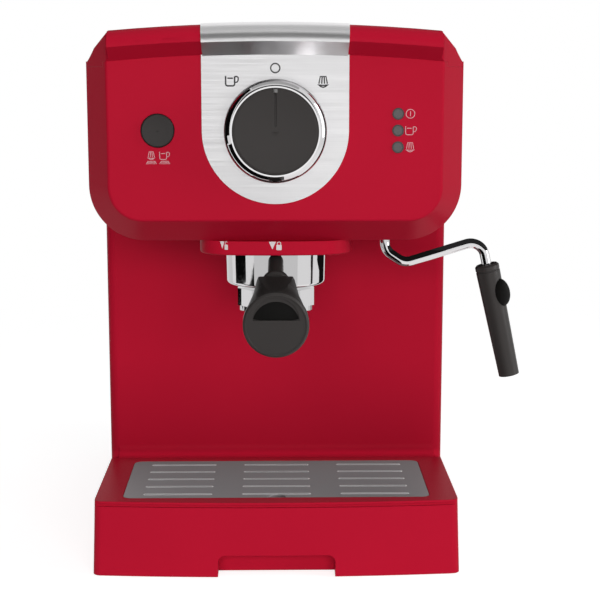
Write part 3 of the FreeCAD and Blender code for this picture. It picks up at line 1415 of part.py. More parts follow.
def make_grill():
    grill = body("drip_grill")
    reach = s.grill_width / 2
    sheet_sketch = rounded(
        sketch(grill, "XY_Plane", grill_bottom), -reach, reach, s.grill_front, s.grill_rear, s.grill_corner,
    )
    pad(grill, sheet_sketch, s.grill_thick)
    dimple = circle(sketch(grill, "XY_Plane", s.tray_top), 0, s.grill_front, s.dimple_radius)
    pocket(grill, dimple, s.dimple_depth)
    row = sketch(grill, "XY_Plane", grill_bottom)
    length, wide = s.slot_length / 2, s.slot_width / 2
    first = s.grill_front + s.slot_margin
    for step in (-1, 0, 1):
        across = step * s.slot_side
        rounded(row, across - length, across + length, first - wide, first + wide, wide * 0.95)
    slots = pocket(grill, row, s.grill_thick, reverse=True)
    rows = grill.newObject("PartDesign::LinearPattern", "grill_rows")
    rows.Originals = [slots]
    rows.Direction = (row, ["V_Axis"])
    rows.Occurrences = 5
    bind(rows, "Length", 4 * s.slot_pitch)
    grill.Tip = rows


# Water tank, lid and seat


def make_tank():
    tank = body("water_tank")
    outer = rounded(
        sketch(tank, "XY_Plane", tank_bottom), -s.tank_half, s.tank_half, s.tank_front, s.tank_rear,
        s.tank_corner,
    )
    pad(tank, outer, s.tank_top - tank_bottom)
    inset = s.tank_wall
    inner = rounded(
        sketch(tank, "XY_Plane", s.tank_top), -s.tank_half + inset, s.tank_half - inset,
        s.tank_front + inset, s.tank_rear - inset, s.tank_corner - inset,
    )
    pocket(tank, inner, s.tank_top - tank_bottom - inset)
    outlet = circle(sketch(tank, "XY_Plane", tank_bottom), 0, s.valve_depth, s.valve_radius)
    pocket(tank, outlet, inset, reverse=True)
    ears = sketch(tank, "YZ_Plane", -s.hinge_half - s.seat_gap - s.ear_plate)
    bores = sketch(tank, "YZ_Plane", -s.hinge_half - s.seat_gap - s.ear_plate)
    back = hinge_depth + s.knuckle_radius
    rectangle(ears, s.tank_rear - inset, back, s.tank_top - s.ear_drop, hinge_height + s.knuckle_radius)
    circle(bores, hinge_depth, hinge_height, s.pin_radius + s.running_gap)
    pad(tank, ears, s.ear_plate)
    far_ears = sketch(tank, "YZ_Plane", s.hinge_half + s.seat_gap)
    rectangle(far_ears, s.tank_rear - inset, back, s.tank_top - s.ear_drop, hinge_height + s.knuckle_radius)
    pad(tank, far_ears, s.ear_plate)
    pocket(tank, bores, s.body_width, reverse=True)
    valve = body("tank_valve", 0, s.valve_depth, 0)
    turned(valve, rectangle(
        sketch(valve, "XZ_Plane"), s.spigot_radius + s.seat_gap, s.valve_radius,
        tank_bottom, tank_bottom + inset + 2,
    ))


def make_lid():
    lid = body("tank_lid")
    front = s.column_back + 2 * s.seat_gap
    rear = hinge_depth - s.knuckle_radius - s.lid_clearance
    plate = rounded(sketch(lid, "XY_Plane", lid_bottom), -s.lid_half, s.lid_half, front, rear, s.lid_corner)
    pad(lid, plate, s.lid_thick)
    inset = s.tank_corner
    hollow = rounded(
        sketch(lid, "XY_Plane", lid_bottom), -s.lid_half + inset, s.lid_half - inset,
        front + inset, rear - inset, s.lid_corner,
    )
    pocket(lid, hollow, s.lid_thick / 2, reverse=True)
    knuckle = circle(sketch(lid, "YZ_Plane"), hinge_depth, hinge_height, s.knuckle_radius)
    pad(lid, knuckle, 2 * s.hinge_half, both_ways=True)
    web = rectangle(
        sketch(lid, "YZ_Plane"), rear - s.lid_clearance, hinge_depth, hinge_height - s.pin_radius,
        hinge_height + s.knuckle_radius - s.seat_gap,
    )
    pad(lid, web, 2 * s.hinge_half, both_ways=True)
    bore = circle(sketch(lid, "YZ_Plane"), hinge_depth, hinge_height, s.pin_radius + s.running_gap)
    pocket(lid, bore, s.body_width, both_ways=True)
    pin_half = s.hinge_half + s.seat_gap + s.ear_plate
    keep(
        cylinder("lid_pin", -pin_half, hinge_depth, hinge_height, s.pin_radius, 2 * pin_half, ALONG_X),
        "lid_pin",
    )


def make_tank_seat():
    seat = body("tank_seat", 0, s.valve_depth, 0)
    under = s.pedestal_top - s.wall
    turned(seat, outline(sketch(seat, "XZ_Plane"), [
        (0, seat_end), (s.hose_radius, seat_end), (s.hose_radius, under - 3), (s.seat_radius + 3, under - 3),
        (s.seat_radius + 3, under), (s.seat_radius, under), (s.seat_radius, s.pedestal_top - 1.2),
        (s.spigot_radius, s.pedestal_top - 1.2), (s.spigot_radius, s.pedestal_top + 4),
        (0, s.pedestal_top + 4),
    ]))
    seal = body("seat_seal", 0, s.valve_depth, 0)
    turned(seal, rectangle(
        sketch(seal, "XZ_Plane"), s.seat_radius - 3, s.seat_radius, s.pedestal_top - 1.2, s.pedestal_top,
    ))


# Pump, its bracket and mounts, hoses


def make_pump():
    x, y = s.pump_place, s.pump_depth
    barrel = cylinder("pump_barrel", x, y, s.pump_bottom, s.pump_radius, s.pump_length)
    reach = s.coil_width / 2
    coil_low = s.pump_bottom + (s.pump_length - s.coil_height) / 2
    coil = box("pump_coil", x - reach, x + reach, y - reach, y + reach, coil_low, coil_low + s.coil_height)
    low = cylinder("pump_inlet", x, y, s.pump_bottom - s.nipple_length, s.nipple_radius, s.nipple_length)
    high = cylinder("pump_outlet", x, y, s.pump_bottom + s.pump_length, s.nipple_radius, s.nipple_length)
    keep(fuse("pump", [barrel, coil, low, high]), "pump")


def mount_heights():
    low = s.pump_bottom + 4
    high = s.pump_bottom + s.pump_length - 4 - s.mount_thick
    return low, high


def make_pump_mounts():
    x, y = s.pump_place, s.pump_depth
    rings = []
    for number, height in enumerate(mount_heights()):
        ring = cylinder(f"mount_ring_{number}", x, y, height, s.mount_radius, s.mount_thick)
        bore = cylinder(f"mount_bore_{number}", x, y, height, s.pump_radius, s.mount_thick)
        rings.append(cut(f"mount_{number}", ring, bore))
    group("pump_mounts", rings)


def make_pump_bracket():
    x, y = s.pump_place, s.pump_depth
    thick = s.bracket_thick
    reach = s.mount_radius + 6
    front = y - s.coil_width / 2 - 2
    low, high = mount_heights()
    upright_plate = box(
        "bracket_plate", x - reach, x + reach, front - thick, front, pan_top, high + s.mount_thick,
    )
    foot = box("bracket_foot", x - reach, x + reach, front - 14, front, pan_top, pan_top + thick)
    shelves = []
    for number, height in enumerate((low, high)):
        level = height + (s.mount_thick - thick) / 2
        shelf = box(f"bracket_arm_{number}", x - reach, x + reach, front, y + reach, level, level + thick)
        hole = cylinder(f"bracket_hole_{number}", x, y, level, s.mount_radius, thick)
        shelves.append(cut(f"bracket_shelf_{number}", shelf, hole))
    keep(fuse("pump_bracket", [upright_plate, foot] + shelves), "pump_bracket")


def make_hoses():
    inlet = s.pump_bottom - s.nipple_length
    outlet = s.pump_bottom + s.pump_length + s.nipple_length
    pipe("suction_hose", [
        (0, s.valve_depth, seat_end), (0, s.valve_depth, s.hose_low),
        (s.pump_place, s.pump_depth, s.hose_low), (s.pump_place, s.pump_depth, inlet),
    ], s.hose_radius, s.suction_bend)
    pipe("pressure_hose", [
        (s.pump_place, s.pump_depth, outlet), (s.pump_place, s.pump_depth, s.pipe_height),
        (s.block_width / 2 * -0.6, s.pump_depth * 0.3, s.pipe_height),
        (s.block_width / 2 * -0.6, s.block_rear, s.pipe_height),
    ], s.hose_radius, s.hose_bend)
    pipe("steam_pipe", [
        (s.block_width / 2, s.wand_depth, s.pipe_height), (s.wand_place, s.wand_depth, s.pipe_height),
        (s.wand_place, s.wand_depth, head_floor + s.bush_height),
    ], s.steam_radius, s.hose_bend)


def check_and_write():
    doc.recompute()
    failed = [made.Name for made in doc.Objects if {"Invalid", "Error"} & set(made.State)]
    if failed:
        raise RuntimeError(f"failed objects: {failed}")
    for made in NODES:
        if made.Shape.isNull() or not made.Shape.isValid() or not made.Shape.Solids:
            raise RuntimeError(f"{made.Label} has no valid shape")
    os.makedirs("parts", exist_ok=True)
    for made in NODES:
        made.Shape.exportStep(f"parts/{made.Label}.step")
    print(len(NODES), "sub-parts written")


for make in (
    make_base_pan, make_feet, make_base_screws, make_cord_gland, make_housing, make_fascia, make_top_cover,
    make_plates, make_dial, make_selector_switch, make_button, make_lights, make_control_board, make_collar,
    make_group_ring, make_group_seals, make_thermoblock, make_portafilter, make_basket, make_spout,
    make_handle, make_wand, make_drip_tray, make_grill, make_tank, make_lid, make_tank_seat, make_pump,
    make_pump_mounts, make_pump_bracket, make_hoses,
):
    make()
check_and_write()
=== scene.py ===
"""Finishes, printed marks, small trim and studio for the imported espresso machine."""

import json
import math

import bpy
from bpy.props import FloatProperty, FloatVectorProperty, IntProperty, PointerProperty
from mathutils import Matrix, Vector


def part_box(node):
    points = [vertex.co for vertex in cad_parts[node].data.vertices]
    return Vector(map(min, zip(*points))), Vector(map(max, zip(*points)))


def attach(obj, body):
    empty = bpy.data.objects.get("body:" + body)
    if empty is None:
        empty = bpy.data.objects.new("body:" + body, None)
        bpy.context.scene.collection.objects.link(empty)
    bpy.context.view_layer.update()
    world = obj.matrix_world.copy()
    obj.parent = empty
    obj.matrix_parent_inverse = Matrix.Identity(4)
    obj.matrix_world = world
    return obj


bl_info = {
    "name": "Espresso machine finishes",
    "version": (1, 0, 0),
    "blender": (4, 5, 0),
    "location": "View3D > Sidebar > Espresso",
    "description": "Finishes, marks, trim and studio for an espresso machine",
    "category": "Object",
}

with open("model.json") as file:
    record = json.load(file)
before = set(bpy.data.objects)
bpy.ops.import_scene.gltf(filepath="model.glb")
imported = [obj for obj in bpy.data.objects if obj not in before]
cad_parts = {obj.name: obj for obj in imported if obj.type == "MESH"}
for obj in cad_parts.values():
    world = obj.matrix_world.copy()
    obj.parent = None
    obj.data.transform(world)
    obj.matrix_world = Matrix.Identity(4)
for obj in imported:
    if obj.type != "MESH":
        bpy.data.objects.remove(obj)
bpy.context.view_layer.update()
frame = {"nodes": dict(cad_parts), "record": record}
nodes = frame["nodes"]

MM = 0.001
SMOOTH_ANGLE = math.radians(35)
# Sockets of a Mix node that blends two colours
MIX_FIRST = 6
MIX_SECOND = 7
MIX_RESULT = 2


def linear(text):
    """An sRGB hex colour as linear red, green, blue and alpha."""
    levels = [int(text[start:start + 2], 16) / 255 for start in (0, 2, 4)]
    return (*(v / 12.92 if v <= 0.04045 else ((v + 0.055) / 1.055) ** 2.4 for v in levels), 1.0)


def shaded(colour, share):
    """The deeper tone of a finish, as a share of its colour."""
    return [share * value for value in colour]


def colour_property(name, text, description):
    """A colour that the user can change."""
    return FloatVectorProperty(
        name=name, description=description, default=linear(text), size=4, min=0, max=1, subtype="COLOR"
    )


def length_property(name, size, description):
    """A length in metres, given here in millimetres, that the user can change."""
    return FloatProperty(name=name, description=description, default=size * MM, precision=5, unit="LENGTH")


def angle_property(name, degrees, description):
    """An angle, given here in degrees, that the user can change."""
    return FloatProperty(name=name, description=description, default=math.radians(degrees), subtype="ANGLE")


def number_property(name, value, description, unit="NONE"):
    """A plain number, such as a share or a power, that the user can change."""
    return FloatProperty(name=name, description=description, default=value, min=0, unit=unit)


def place_property(name, place, description):
    """A place in metres, given here in millimetres, that the user can change."""
    return FloatVectorProperty(
        name=name, description=description, default=[value * MM for value in place], size=len(place),
        precision=5, subtype="TRANSLATION", unit="LENGTH",
    )


# Settings


class EspressoColours(bpy.types.PropertyGroup):
    """Colours of the finishes."""

    red: colour_property("Red", "B5152F", "Red of the moulded shell")
    red_deep: colour_property("Deep red", "AD132C", "Red where the melt flowed last")
    black: colour_property("Black", "363332", "Black of the moulded controls")
    black_deep: colour_property("Deep black", "2E2B2A", "Black where the grain is worn smooth")
    steel: colour_property("Steel", "F0EFF0", "Brushed stainless plate")
    steel_deep: colour_property("Deep steel", "E4E3E4", "Darker lines of the brushing")
    grill: colour_property("Grill", "A5A2A4", "Blasted stainless of the grill")
    chrome: colour_property("Chrome", "D1D0D1", "Chromium plating")
    alloy: colour_property("Alloy", "9C9B9A", "Die cast alloy")
    rubber: colour_property("Rubber", "242322", "Soft rubber")
    silicone: colour_property("Silicone", "D9DAD6", "Milky silicone hose")
    copper: colour_property("Copper", "C9805B", "Drawn copper pipe")
    board: colour_property("Board", "1F5A3A", "Solder mask of the control board")
    pump: colour_property("Pump", "8D8A83", "Glass filled casing of the pump")
    lens: colour_property("Lens", "4C4849", "Unlit indicator lens")
    pad: colour_property("Pad", "0E0D0C", "Rubber pad in the handle's end")
    tank: colour_property("Tank", "EEF2F3", "Clear water tank")
    dark_ink: colour_property("Dark ink", "353334", "Print on the steel plate")
    pale_ink: colour_property("Pale ink", "CB9AA0", "Print on the red face")
    white_ink: colour_property("White ink", "D9D3D3", "Print on the collar")


class EspressoMarks(bpy.types.PropertyGroup):
    """Sizes of the printed marks, and their places to the right of the middle and above the counter."""

    stroke: length_property("Stroke", 0.9, "Width of a dark printed line")
    fine_stroke: length_property("Fine stroke", 0.48, "Width of a pale printed line")
    film: length_property("Film", 0.1, "Height of the print above its ground")
    brew: place_property("Brew", (-24.6, 293.1), "Place of the brew mark on the plate")
    rest: place_property("Rest", (0, 300.3), "Place of the rest mark on the plate")
    steam: place_property("Steam", (27.2, 292.6), "Place of the steam mark on the plate")
    light_gap: length_property("Light gap", 7, "Distance of a mark from the middle of its light")
    ready_shift: length_property("Ready shift", 0.4, "How far the brew light's mark stands further out")
    push_drop: length_property("Push drop", 15.4, "Distance of the button's marks below its middle")
    push_side: length_property("Push side", 3.8, "Distance of the button's marks from its middle line")
    locked: place_property("Locked", (0, 196.8), "Place of the locked mark on the collar")
    unlocked: place_property("Unlocked", (-30.4, 196.8), "Place of the unlocked mark on the collar")
    unlocked_back: length_property("Unlocked depth", 2.4, "How far the collar falls back at that mark")
    unlocked_turn: angle_property("Unlocked turn", -14, "Turn of the unlocked mark with the collar")
    unlocked_width: number_property("Unlocked width", 0.62, "Its width as a share of the locked mark's")


class EspressoTrim(bpy.types.PropertyGroup):
    """Sizes of the small trim."""

    slot_length: length_property("Slot length", 41, "Length of a slot in the grill")
    slot_width: length_property("Slot width", 2, "Width of a slot in the grill")
    slot_side: length_property("Slot spacing", 59.5, "Distance between the slots of a row")
    slot_pitch: length_property("Row spacing", 15.75, "Distance between the rows of slots")
    slot_margin: length_property("Row margin", 7, "Distance of the first row from the grill's front edge")
    slot_rows: IntProperty(name="Rows", description="Rows of slots in the grill", default=5, min=1)
    lip_radius: length_property("Lip", 0.35, "Radius of the rolled lip round a slot")
    lip_flat: number_property("Lip flatness", 0.6, "Height of the lip as a share of its width")
    pad_height: length_property("Pad", 0.3, "Half the height of the handle's thumb pad")
    pad_reach: number_property("Pad reach", 0.71, "Pad's radius as a share of the cap's")
    pad_foot: number_property("Pad foot", 0.1, "Height of the pad's foot as that share")
    pad_bow: number_property("Pad bow", 2.8, "Radius of the foot's bow as that share")
    pad_seat: length_property("Pad seat", 1.5, "Distance of the pad from the middle of the end cap")
    cap_tilt: angle_property("Cap tilt", 3, "Downward tilt of the handle's end")
    rest_length: length_property("Rest length", 17.5, "Length of the sleeve's thumb rest")
    rest_width: length_property("Rest width", 10, "Width of the thumb rest")
    rest_thick: length_property("Rest thickness", 11.5, "Thickness of the thumb rest's full round")
    rest_reach: length_property("Rest reach", 6.2, "Distance of the rest's middle from the sleeve's axis")
    rest_root: length_property("Rest root", 4.6, "Distance of the rest's cut back from the sleeve's axis")
    rest_drop: length_property("Rest drop", 18.4, "Distance of the rest's middle from the sleeve's top")
    rest_turn: angle_property("Rest turn", 50, "Turn of the thumb rest from the front to the outside")
    sleeve_top: place_property("Sleeve top", (129.75, -87, 181.08), "Middle of the frother sleeve's top")
    tip_width: length_property("Tip width", 2.4, "Width of the pointer's tip")
    tip_length: length_property("Tip length", 2.4, "Length of the pointer's tip")
    tip_depth: length_property("Tip depth", 1.4, "Depth of the pointer's tip")
    tip_edge: length_property("Tip edge", 0.5, "Distance of the tip from the knob's edge")
    tip_sink: length_property("Tip sink", 0.5, "Distance of the tip's middle behind the knob's front")
    tip_round: length_property("Tip rounding", 0.4, "Radius of the tip's edges")


class EspressoStudio(bpy.types.PropertyGroup):
    """Sizes and strengths of the studio."""

    floor: length_property("Floor", 12000, "Width of the floor")
    floor_near: length_property("Near floor", 350, "Distance at which the floor starts to fade to white")
    floor_far: length_property("Far floor", 850, "Distance at which the floor is white")
    camera: place_property("Camera", (0, -947, 302), "Place of the camera")
    pitch: angle_property("Pitch", 80.56, "Camera's tilt from straight down")
    yaw: angle_property("Yaw", -0.99, "Camera's turn to the left")
    lens: number_property("Lens", 84.8, "Focal length in mm", "CAMERA")
    key: number_property("Key", 51, "Power of the front lamp", "POWER")
    side: number_property("Side", 12, "Power of the right softbox", "POWER")
    top: number_property("Top", 2, "Power of the overhead lamp", "POWER")
    sky: number_property("Sky", 0.22, "Strength of the light from all round")
    paper: number_property("Paper", 0.78, "Whiteness that the floor shows by itself")


# Tools


def put(tree, kind, settings=None, values=None, links=None):
    """Adds one node with its settings, its socket values and its links."""
    node = tree.nodes.new(kind)
    for name, value in (settings or {}).items():
        setattr(node, name, value)
    for socket, value in (values or {}).items():
        node.inputs[socket].default_value = value
    for socket, source in (links or {}).items():
        tree.links.new(source, node.inputs[socket])
    return node


def new_material(name):
    """An empty material and its node tree."""
    material = bpy.data.materials.new(name)
    material.use_nodes = True
    material.node_tree.nodes.clear()
    return material, material.node_tree


def only(*objects):
    """Selects just these objects."""
    bpy.ops.object.select_all(action="DESELECT")
    for item in objects:
        item.select_set(True)
    bpy.context.view_layer.objects.active = objects[0]


def copied(piece, name):
    """A copy of the piece with its own mesh."""
    only(piece)
    bpy.ops.object.duplicate()
    bpy.context.object.name = name
    return bpy.context.object


def pick(piece, test):
    """Selects just the corners of the mesh that pass the test, for edit mode."""
    bpy.ops.object.mode_set(mode="EDIT")
    bpy.ops.mesh.select_all(action="DESELECT")
    bpy.ops.object.mode_set(mode="OBJECT")
    for corner in piece.data.vertices:
        corner.select = test(corner.co)


def settle(piece, material, body):
    """Puts the piece's place into its mesh, and gives it its finish and its body."""
    only(piece)
    bpy.ops.object.transform_apply(location=True, rotation=True, scale=True)
    piece.data.materials.clear()
    piece.data.materials.append(bpy.data.materials[material])
    bpy.ops.object.shade_smooth_by_angle(angle=SMOOTH_ANGLE)
    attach(piece, body)


# Finishes


def moulded_plastic(name, colour, deep, gloss, sheen, grain, relief, edge):
    """Moulded ABS: the tool's fine spark grain softens the shine, and thick places are a shade deeper.

    The real grain is about 0.2 mm, too fine for the picture, so it is drawn coarser.
    """
    material, tree = new_material(name)
    place = put(tree, "ShaderNodeTexCoord").outputs["Object"]
    spark = put(
        tree, "ShaderNodeTexNoise",
        values={"Scale": 1 / (grain * MM), "Detail": 3.0, "Roughness": 0.6}, links={"Vector": place},
    )
    flow_width = 70 * MM
    flow = put(
        tree, "ShaderNodeTexNoise",
        values={"Scale": 1 / flow_width, "Detail": 2.0}, links={"Vector": place},
    )
    hue = put(
        tree, "ShaderNodeMix", {"data_type": "RGBA"},
        {MIX_FIRST: colour, MIX_SECOND: deep}, {0: flow.outputs["Fac"]},
    )
    shine = put(
        tree, "ShaderNodeMapRange",
        values={"From Min": 0.3, "From Max": 0.7, "To Min": gloss - 0.05, "To Max": gloss + 0.06},
        links={"Value": spark.outputs["Fac"]},
    )
    soft_edge = put(tree, "ShaderNodeBevel", {"samples": 6}, {"Radius": edge * MM})
    skin = put(
        tree, "ShaderNodeBump", values={"Strength": 0.6, "Distance": relief * MM},
        links={"Height": spark.outputs["Fac"], "Normal": soft_edge.outputs["Normal"]},
    )
    shell = put(
        tree, "ShaderNodeBsdfPrincipled", values={"IOR": 1.53, "Specular IOR Level": sheen},
        links={
            "Base Color": hue.outputs[MIX_RESULT],
            "Roughness": shine.outputs["Result"],
            "Normal": skin.outputs["Normal"],
        },
    )
    put(tree, "ShaderNodeOutputMaterial", links={"Surface": shell.outputs["BSDF"]})


def brushed_steel(name, colour, deep, run, gloss):
    """Brushed stainless sheet: long fine lines along one way spread the shine across them.

    Real grit lines are about 0.1 mm apart; they are drawn at 0.5 mm so that the picture shows them.
    """
    material, tree = new_material(name)
    place = put(tree, "ShaderNodeTexCoord").outputs["Object"]
    line_gap = 0.5 * MM
    line_length = 60 * MM
    stretch = [1 / line_length if axis == run else 1 / line_gap for axis in range(3)]
    drawn = put(tree, "ShaderNodeMapping", values={"Scale": stretch}, links={"Vector": place})
    lines = put(
        tree, "ShaderNodeTexNoise",
        values={"Scale": 1.0, "Detail": 4.0, "Roughness": 0.7}, links={"Vector": drawn.outputs["Vector"]},
    )
    hue = put(
        tree, "ShaderNodeMix", {"data_type": "RGBA"},
        {MIX_FIRST: colour, MIX_SECOND: deep}, {0: lines.outputs["Fac"]},
    )
    shine = put(
        tree, "ShaderNodeMapRange",
        values={"From Min": 0.3, "From Max": 0.7, "To Min": gloss - 0.06, "To Max": gloss + 0.08},
        links={"Value": lines.outputs["Fac"]},
    )
    skin = put(
        tree, "ShaderNodeBump", values={"Strength": 0.25, "Distance": 0.02 * MM},
        links={"Height": lines.outputs["Fac"]},
    )
    sheet = put(
        tree, "ShaderNodeBsdfPrincipled", values={"Metallic": 1.0},
        links={
            "Base Color": hue.outputs[MIX_RESULT],
            "Roughness": shine.outputs["Result"],
            "Normal": skin.outputs["Normal"],
        },
    )
    put(tree, "ShaderNodeOutputMaterial", links={"Surface": sheet.outputs["BSDF"]})


def speckled(name, colour, deep, grain, relief, values):
    """Cast, blasted, drawn or rubbery surface: a small uneven grain in its colour and its skin.

    The real grains are 0.05 to 0.3 mm, too fine for the picture, so they are drawn coarser.
    """
    material, tree = new_material(name)
    place = put(tree, "ShaderNodeTexCoord").outputs["Object"]
    grit = put(
        tree, "ShaderNodeTexNoise",
        values={"Scale": 1 / (grain * MM), "Detail": 4.0, "Roughness": 0.65}, links={"Vector": place},
    )
    hue = put(
        tree, "ShaderNodeMix", {"data_type": "RGBA"},
        {MIX_FIRST: colour, MIX_SECOND: deep}, {0: grit.outputs["Fac"]},
    )
    skin = put(
        tree, "ShaderNodeBump", values={"Strength": 0.5, "Distance": relief * MM},
        links={"Height": grit.outputs["Fac"]},
    )
    body = put(
        tree, "ShaderNodeBsdfPrincipled", values=values,
        links={"Base Color": hue.outputs[MIX_RESULT], "Normal": skin.outputs["Normal"]},
    )
    put(tree, "ShaderNodeOutputMaterial", links={"Surface": body.outputs["BSDF"]})


def plated_chrome(name, colour, gloss):
    """Chromium plate on a polished casting: a clear mirror with a faint ripple and a trace of wiping."""
    material, tree = new_material(name)
    place = put(tree, "ShaderNodeTexCoord").outputs["Object"]
    ripple_width = 9 * MM
    smear_width = 3 * MM
    ripple = put(
        tree, "ShaderNodeTexNoise",
        values={"Scale": 1 / ripple_width, "Detail": 1.0}, links={"Vector": place},
    )
    wiping = put(
        tree, "ShaderNodeTexNoise",
        values={"Scale": 1 / smear_width, "Detail": 5.0, "Roughness": 0.7}, links={"Vector": place},
    )
    shine = put(
        tree, "ShaderNodeMapRange",
        values={"From Min": 0.35, "From Max": 0.7, "To Min": gloss, "To Max": gloss + 0.04},
        links={"Value": wiping.outputs["Fac"]},
    )
    skin = put(
        tree, "ShaderNodeBump", values={"Strength": 0.15, "Distance": 0.05 * MM},
        links={"Height": ripple.outputs["Fac"]},
    )
    plate = put(
        tree, "ShaderNodeBsdfPrincipled", values={"Metallic": 1.0, "Base Color": colour},
        links={"Roughness": shine.outputs["Result"], "Normal": skin.outputs["Normal"]},
    )
    put(tree, "ShaderNodeOutputMaterial", links={"Surface": plate.outputs["BSDF"]})


def clear_plastic(name, colour):
    """Clear moulded plastic: it lets light through, with faint flow waves in its wall."""
    material, tree = new_material(name)
    place = put(tree, "ShaderNodeTexCoord").outputs["Object"]
    wave_width = 14 * MM
    waves = put(
        tree, "ShaderNodeTexNoise",
        values={"Scale": 1 / wave_width, "Detail": 2.0}, links={"Vector": place},
    )
    haze = put(
        tree, "ShaderNodeMapRange",
        values={"From Min": 0.35, "From Max": 0.7, "To Min": 0.05, "To Max": 0.16},
        links={"Value": waves.outputs["Fac"]},
    )
    skin = put(
        tree, "ShaderNodeBump", values={"Strength": 0.2, "Distance": 0.1 * MM},
        links={"Height": waves.outputs["Fac"]},
    )
    wall = put(
        tree, "ShaderNodeBsdfPrincipled",
        values={"Base Color": colour, "IOR": 1.5, "Alpha": 0.2},
        links={"Roughness": haze.outputs["Result"], "Normal": skin.outputs["Normal"]},
    )
    put(tree, "ShaderNodeOutputMaterial", links={"Surface": wall.outputs["BSDF"]})


FINISHES = {
    "moulded_red_abs": ("base_pan", "housing", "fascia", "top_cover", "brew_collar", "drip_tray", "tank_lid"),
    "moulded_black_abs": (
        "cord_gland", "dial_knob", "selector_switch", "brew_button", "button_switch", "thermostats",
        "handle_neck", "handle_ferrule", "handle_grip", "handle_cap", "wand_bush", "frother_sleeve",
        "tank_seat",
    ),
    "brushed_stainless": (
        "base_screws", "control_plate", "brow_plate", "cup_plate", "shower_screen", "screen_screw",
        "filter_basket", "handle_stud", "lid_pin", "pump_bracket",
    ),
    "blasted_stainless": ("drip_grill",),
    "plated_chrome": ("dial_ring", "portafilter_cup", "double_spout", "wand_tube", "steam_nozzle"),
    "die_cast_alloy": ("dial_shaft", "group_ring", "thermoblock"),
    "soft_rubber": ("rubber_feet", "group_gasket", "seat_seal", "pump_mounts"),
    "milky_silicone": ("tank_valve", "suction_hose", "pressure_hose"),
    "drawn_copper": ("steam_pipe",),
    "solder_mask": ("control_board",),
    "glass_filled_nylon": ("pump",),
    "smoked_lens": ("indicator_lights",),
    "clear_san": ("water_tank",),
}


class ESPRESSO_OT_finishes(bpy.types.Operator):
    """Make every finish and give it to the machine's pieces"""

    bl_idname = "espresso.finishes"
    bl_label = "Finishes"

    def execute(self, context):
        tint = context.scene.espresso_colours
        # ABS from a spark-eroded tool: a deep, even red with a broad, soft shine.
        moulded_plastic(
            "moulded_red_abs", tint.red, tint.red_deep,
            gloss=0.4, sheen=0.03, grain=0.9, relief=0.012, edge=0.7,
        )
        # The same plastic for what the hand holds: a warm black, greyer where its fine grain takes light.
        moulded_plastic(
            "moulded_black_abs", tint.black, tint.black_deep,
            gloss=0.42, sheen=0.2, grain=0.7, relief=0.02, edge=0.4,
        )
        # Stainless sheet brushed from side to side: fine pale lines and a shine drawn out up and down.
        brushed_steel("brushed_stainless", tint.steel, tint.steel_deep, run=0, gloss=0.34)
        # Sheet blasted with beads: an even, dull grey that mirrors nothing.
        speckled(
            "blasted_stainless", tint.grill, shaded(tint.grill, 0.86), grain=0.8, relief=0.02,
            values={"Metallic": 0.7, "Roughness": 0.5},
        )
        # Chromium on a polished casting: sharp black and white bands.
        plated_chrome("plated_chrome", tint.chrome, gloss=0.03)
        # Zinc or aluminium as it leaves the die: a grey, cloudy skin.
        speckled(
            "die_cast_alloy", tint.alloy, shaded(tint.alloy, 0.7), grain=1.5, relief=0.08,
            values={"Metallic": 1.0, "Roughness": 0.5},
        )
        # Moulded elastomer for feet, seals and mounts: a dusty black that hardly shines.
        speckled(
            "soft_rubber", tint.rubber, shaded(tint.rubber, 0.7), grain=0.8, relief=0.05,
            values={"IOR": 1.52, "Roughness": 0.75},
        )
        # Extruded silicone: a milky white that lets a little light in.
        speckled(
            "milky_silicone", tint.silicone, shaded(tint.silicone, 0.85), grain=2.5, relief=0.03,
            values={"IOR": 1.41, "Roughness": 0.4, "Subsurface Weight": 0.3, "Subsurface Scale": 2 * MM},
        )
        # Drawn pipe that was hot: an orange metal with brownish clouds.
        speckled(
            "drawn_copper", tint.copper, shaded(tint.copper, 0.72), grain=2.0, relief=0.02,
            values={"Metallic": 1.0, "Roughness": 0.32},
        )
        # Lacquer over the board's glass cloth: a green, waxy shine.
        speckled(
            "solder_mask", tint.board, shaded(tint.board, 0.7), grain=1.2, relief=0.03,
            values={"IOR": 1.5, "Roughness": 0.35},
        )
        # Nylon with short glass fibres: a stony grey with fine flecks.
        speckled(
            "glass_filled_nylon", tint.pump, shaded(tint.pump, 0.8), grain=0.9, relief=0.05,
            values={"IOR": 1.53, "Roughness": 0.55},
        )
        # Tinted acrylic with the lamp off behind it: a dark grey, glassy dot.
        speckled(
            "smoked_lens", tint.lens, shaded(tint.lens, 0.8), grain=1.0, relief=0.01,
            values={"IOR": 1.49, "Roughness": 0.18},
        )
        # The edge that the punch drew down: a thin pale line round each slot, its paler, shinier steel a
        # painted highlight along the slot's edge.
        speckled(
            "rolled_stainless", tint.steel, tint.steel_deep, grain=0.6, relief=0.01,
            values={"Metallic": 0.6, "Roughness": 0.35},
        )
        # Soft rubber with a pebbled grip: the blackest place, without any shine.
        speckled(
            "matt_rubber", tint.pad, shaded(tint.pad, 0.6), grain=1.1, relief=0.25,
            values={"IOR": 1.52, "Roughness": 0.7, "Specular IOR Level": 0.15},
        )
        # Clear moulded SAN: pale and see-through, with brighter edges.
        clear_plastic("clear_san", tint.tank)
        # Pad printing: a flat, slightly uneven film of ink.
        for name in ("dark_ink", "pale_ink", "white_ink"):
            colour = getattr(tint, name)
            speckled(
                name, colour, shaded(colour, 0.9), grain=0.5, relief=0.01,
                values={"IOR": 1.5, "Roughness": 0.5},
            )
        left = set(nodes)
        for finish, names in FINISHES.items():
            for name in names:
                mesh = nodes[name].data
                mesh.materials.clear()
                mesh.materials.append(bpy.data.materials[finish])
                left.remove(name)
        if left:
            raise RuntimeError("pieces without a finish: " + ", ".join(sorted(left)))
        return {"FINISHED"}


# Printed marks, drawn in millimetres about the middle of each mark, to the right and up


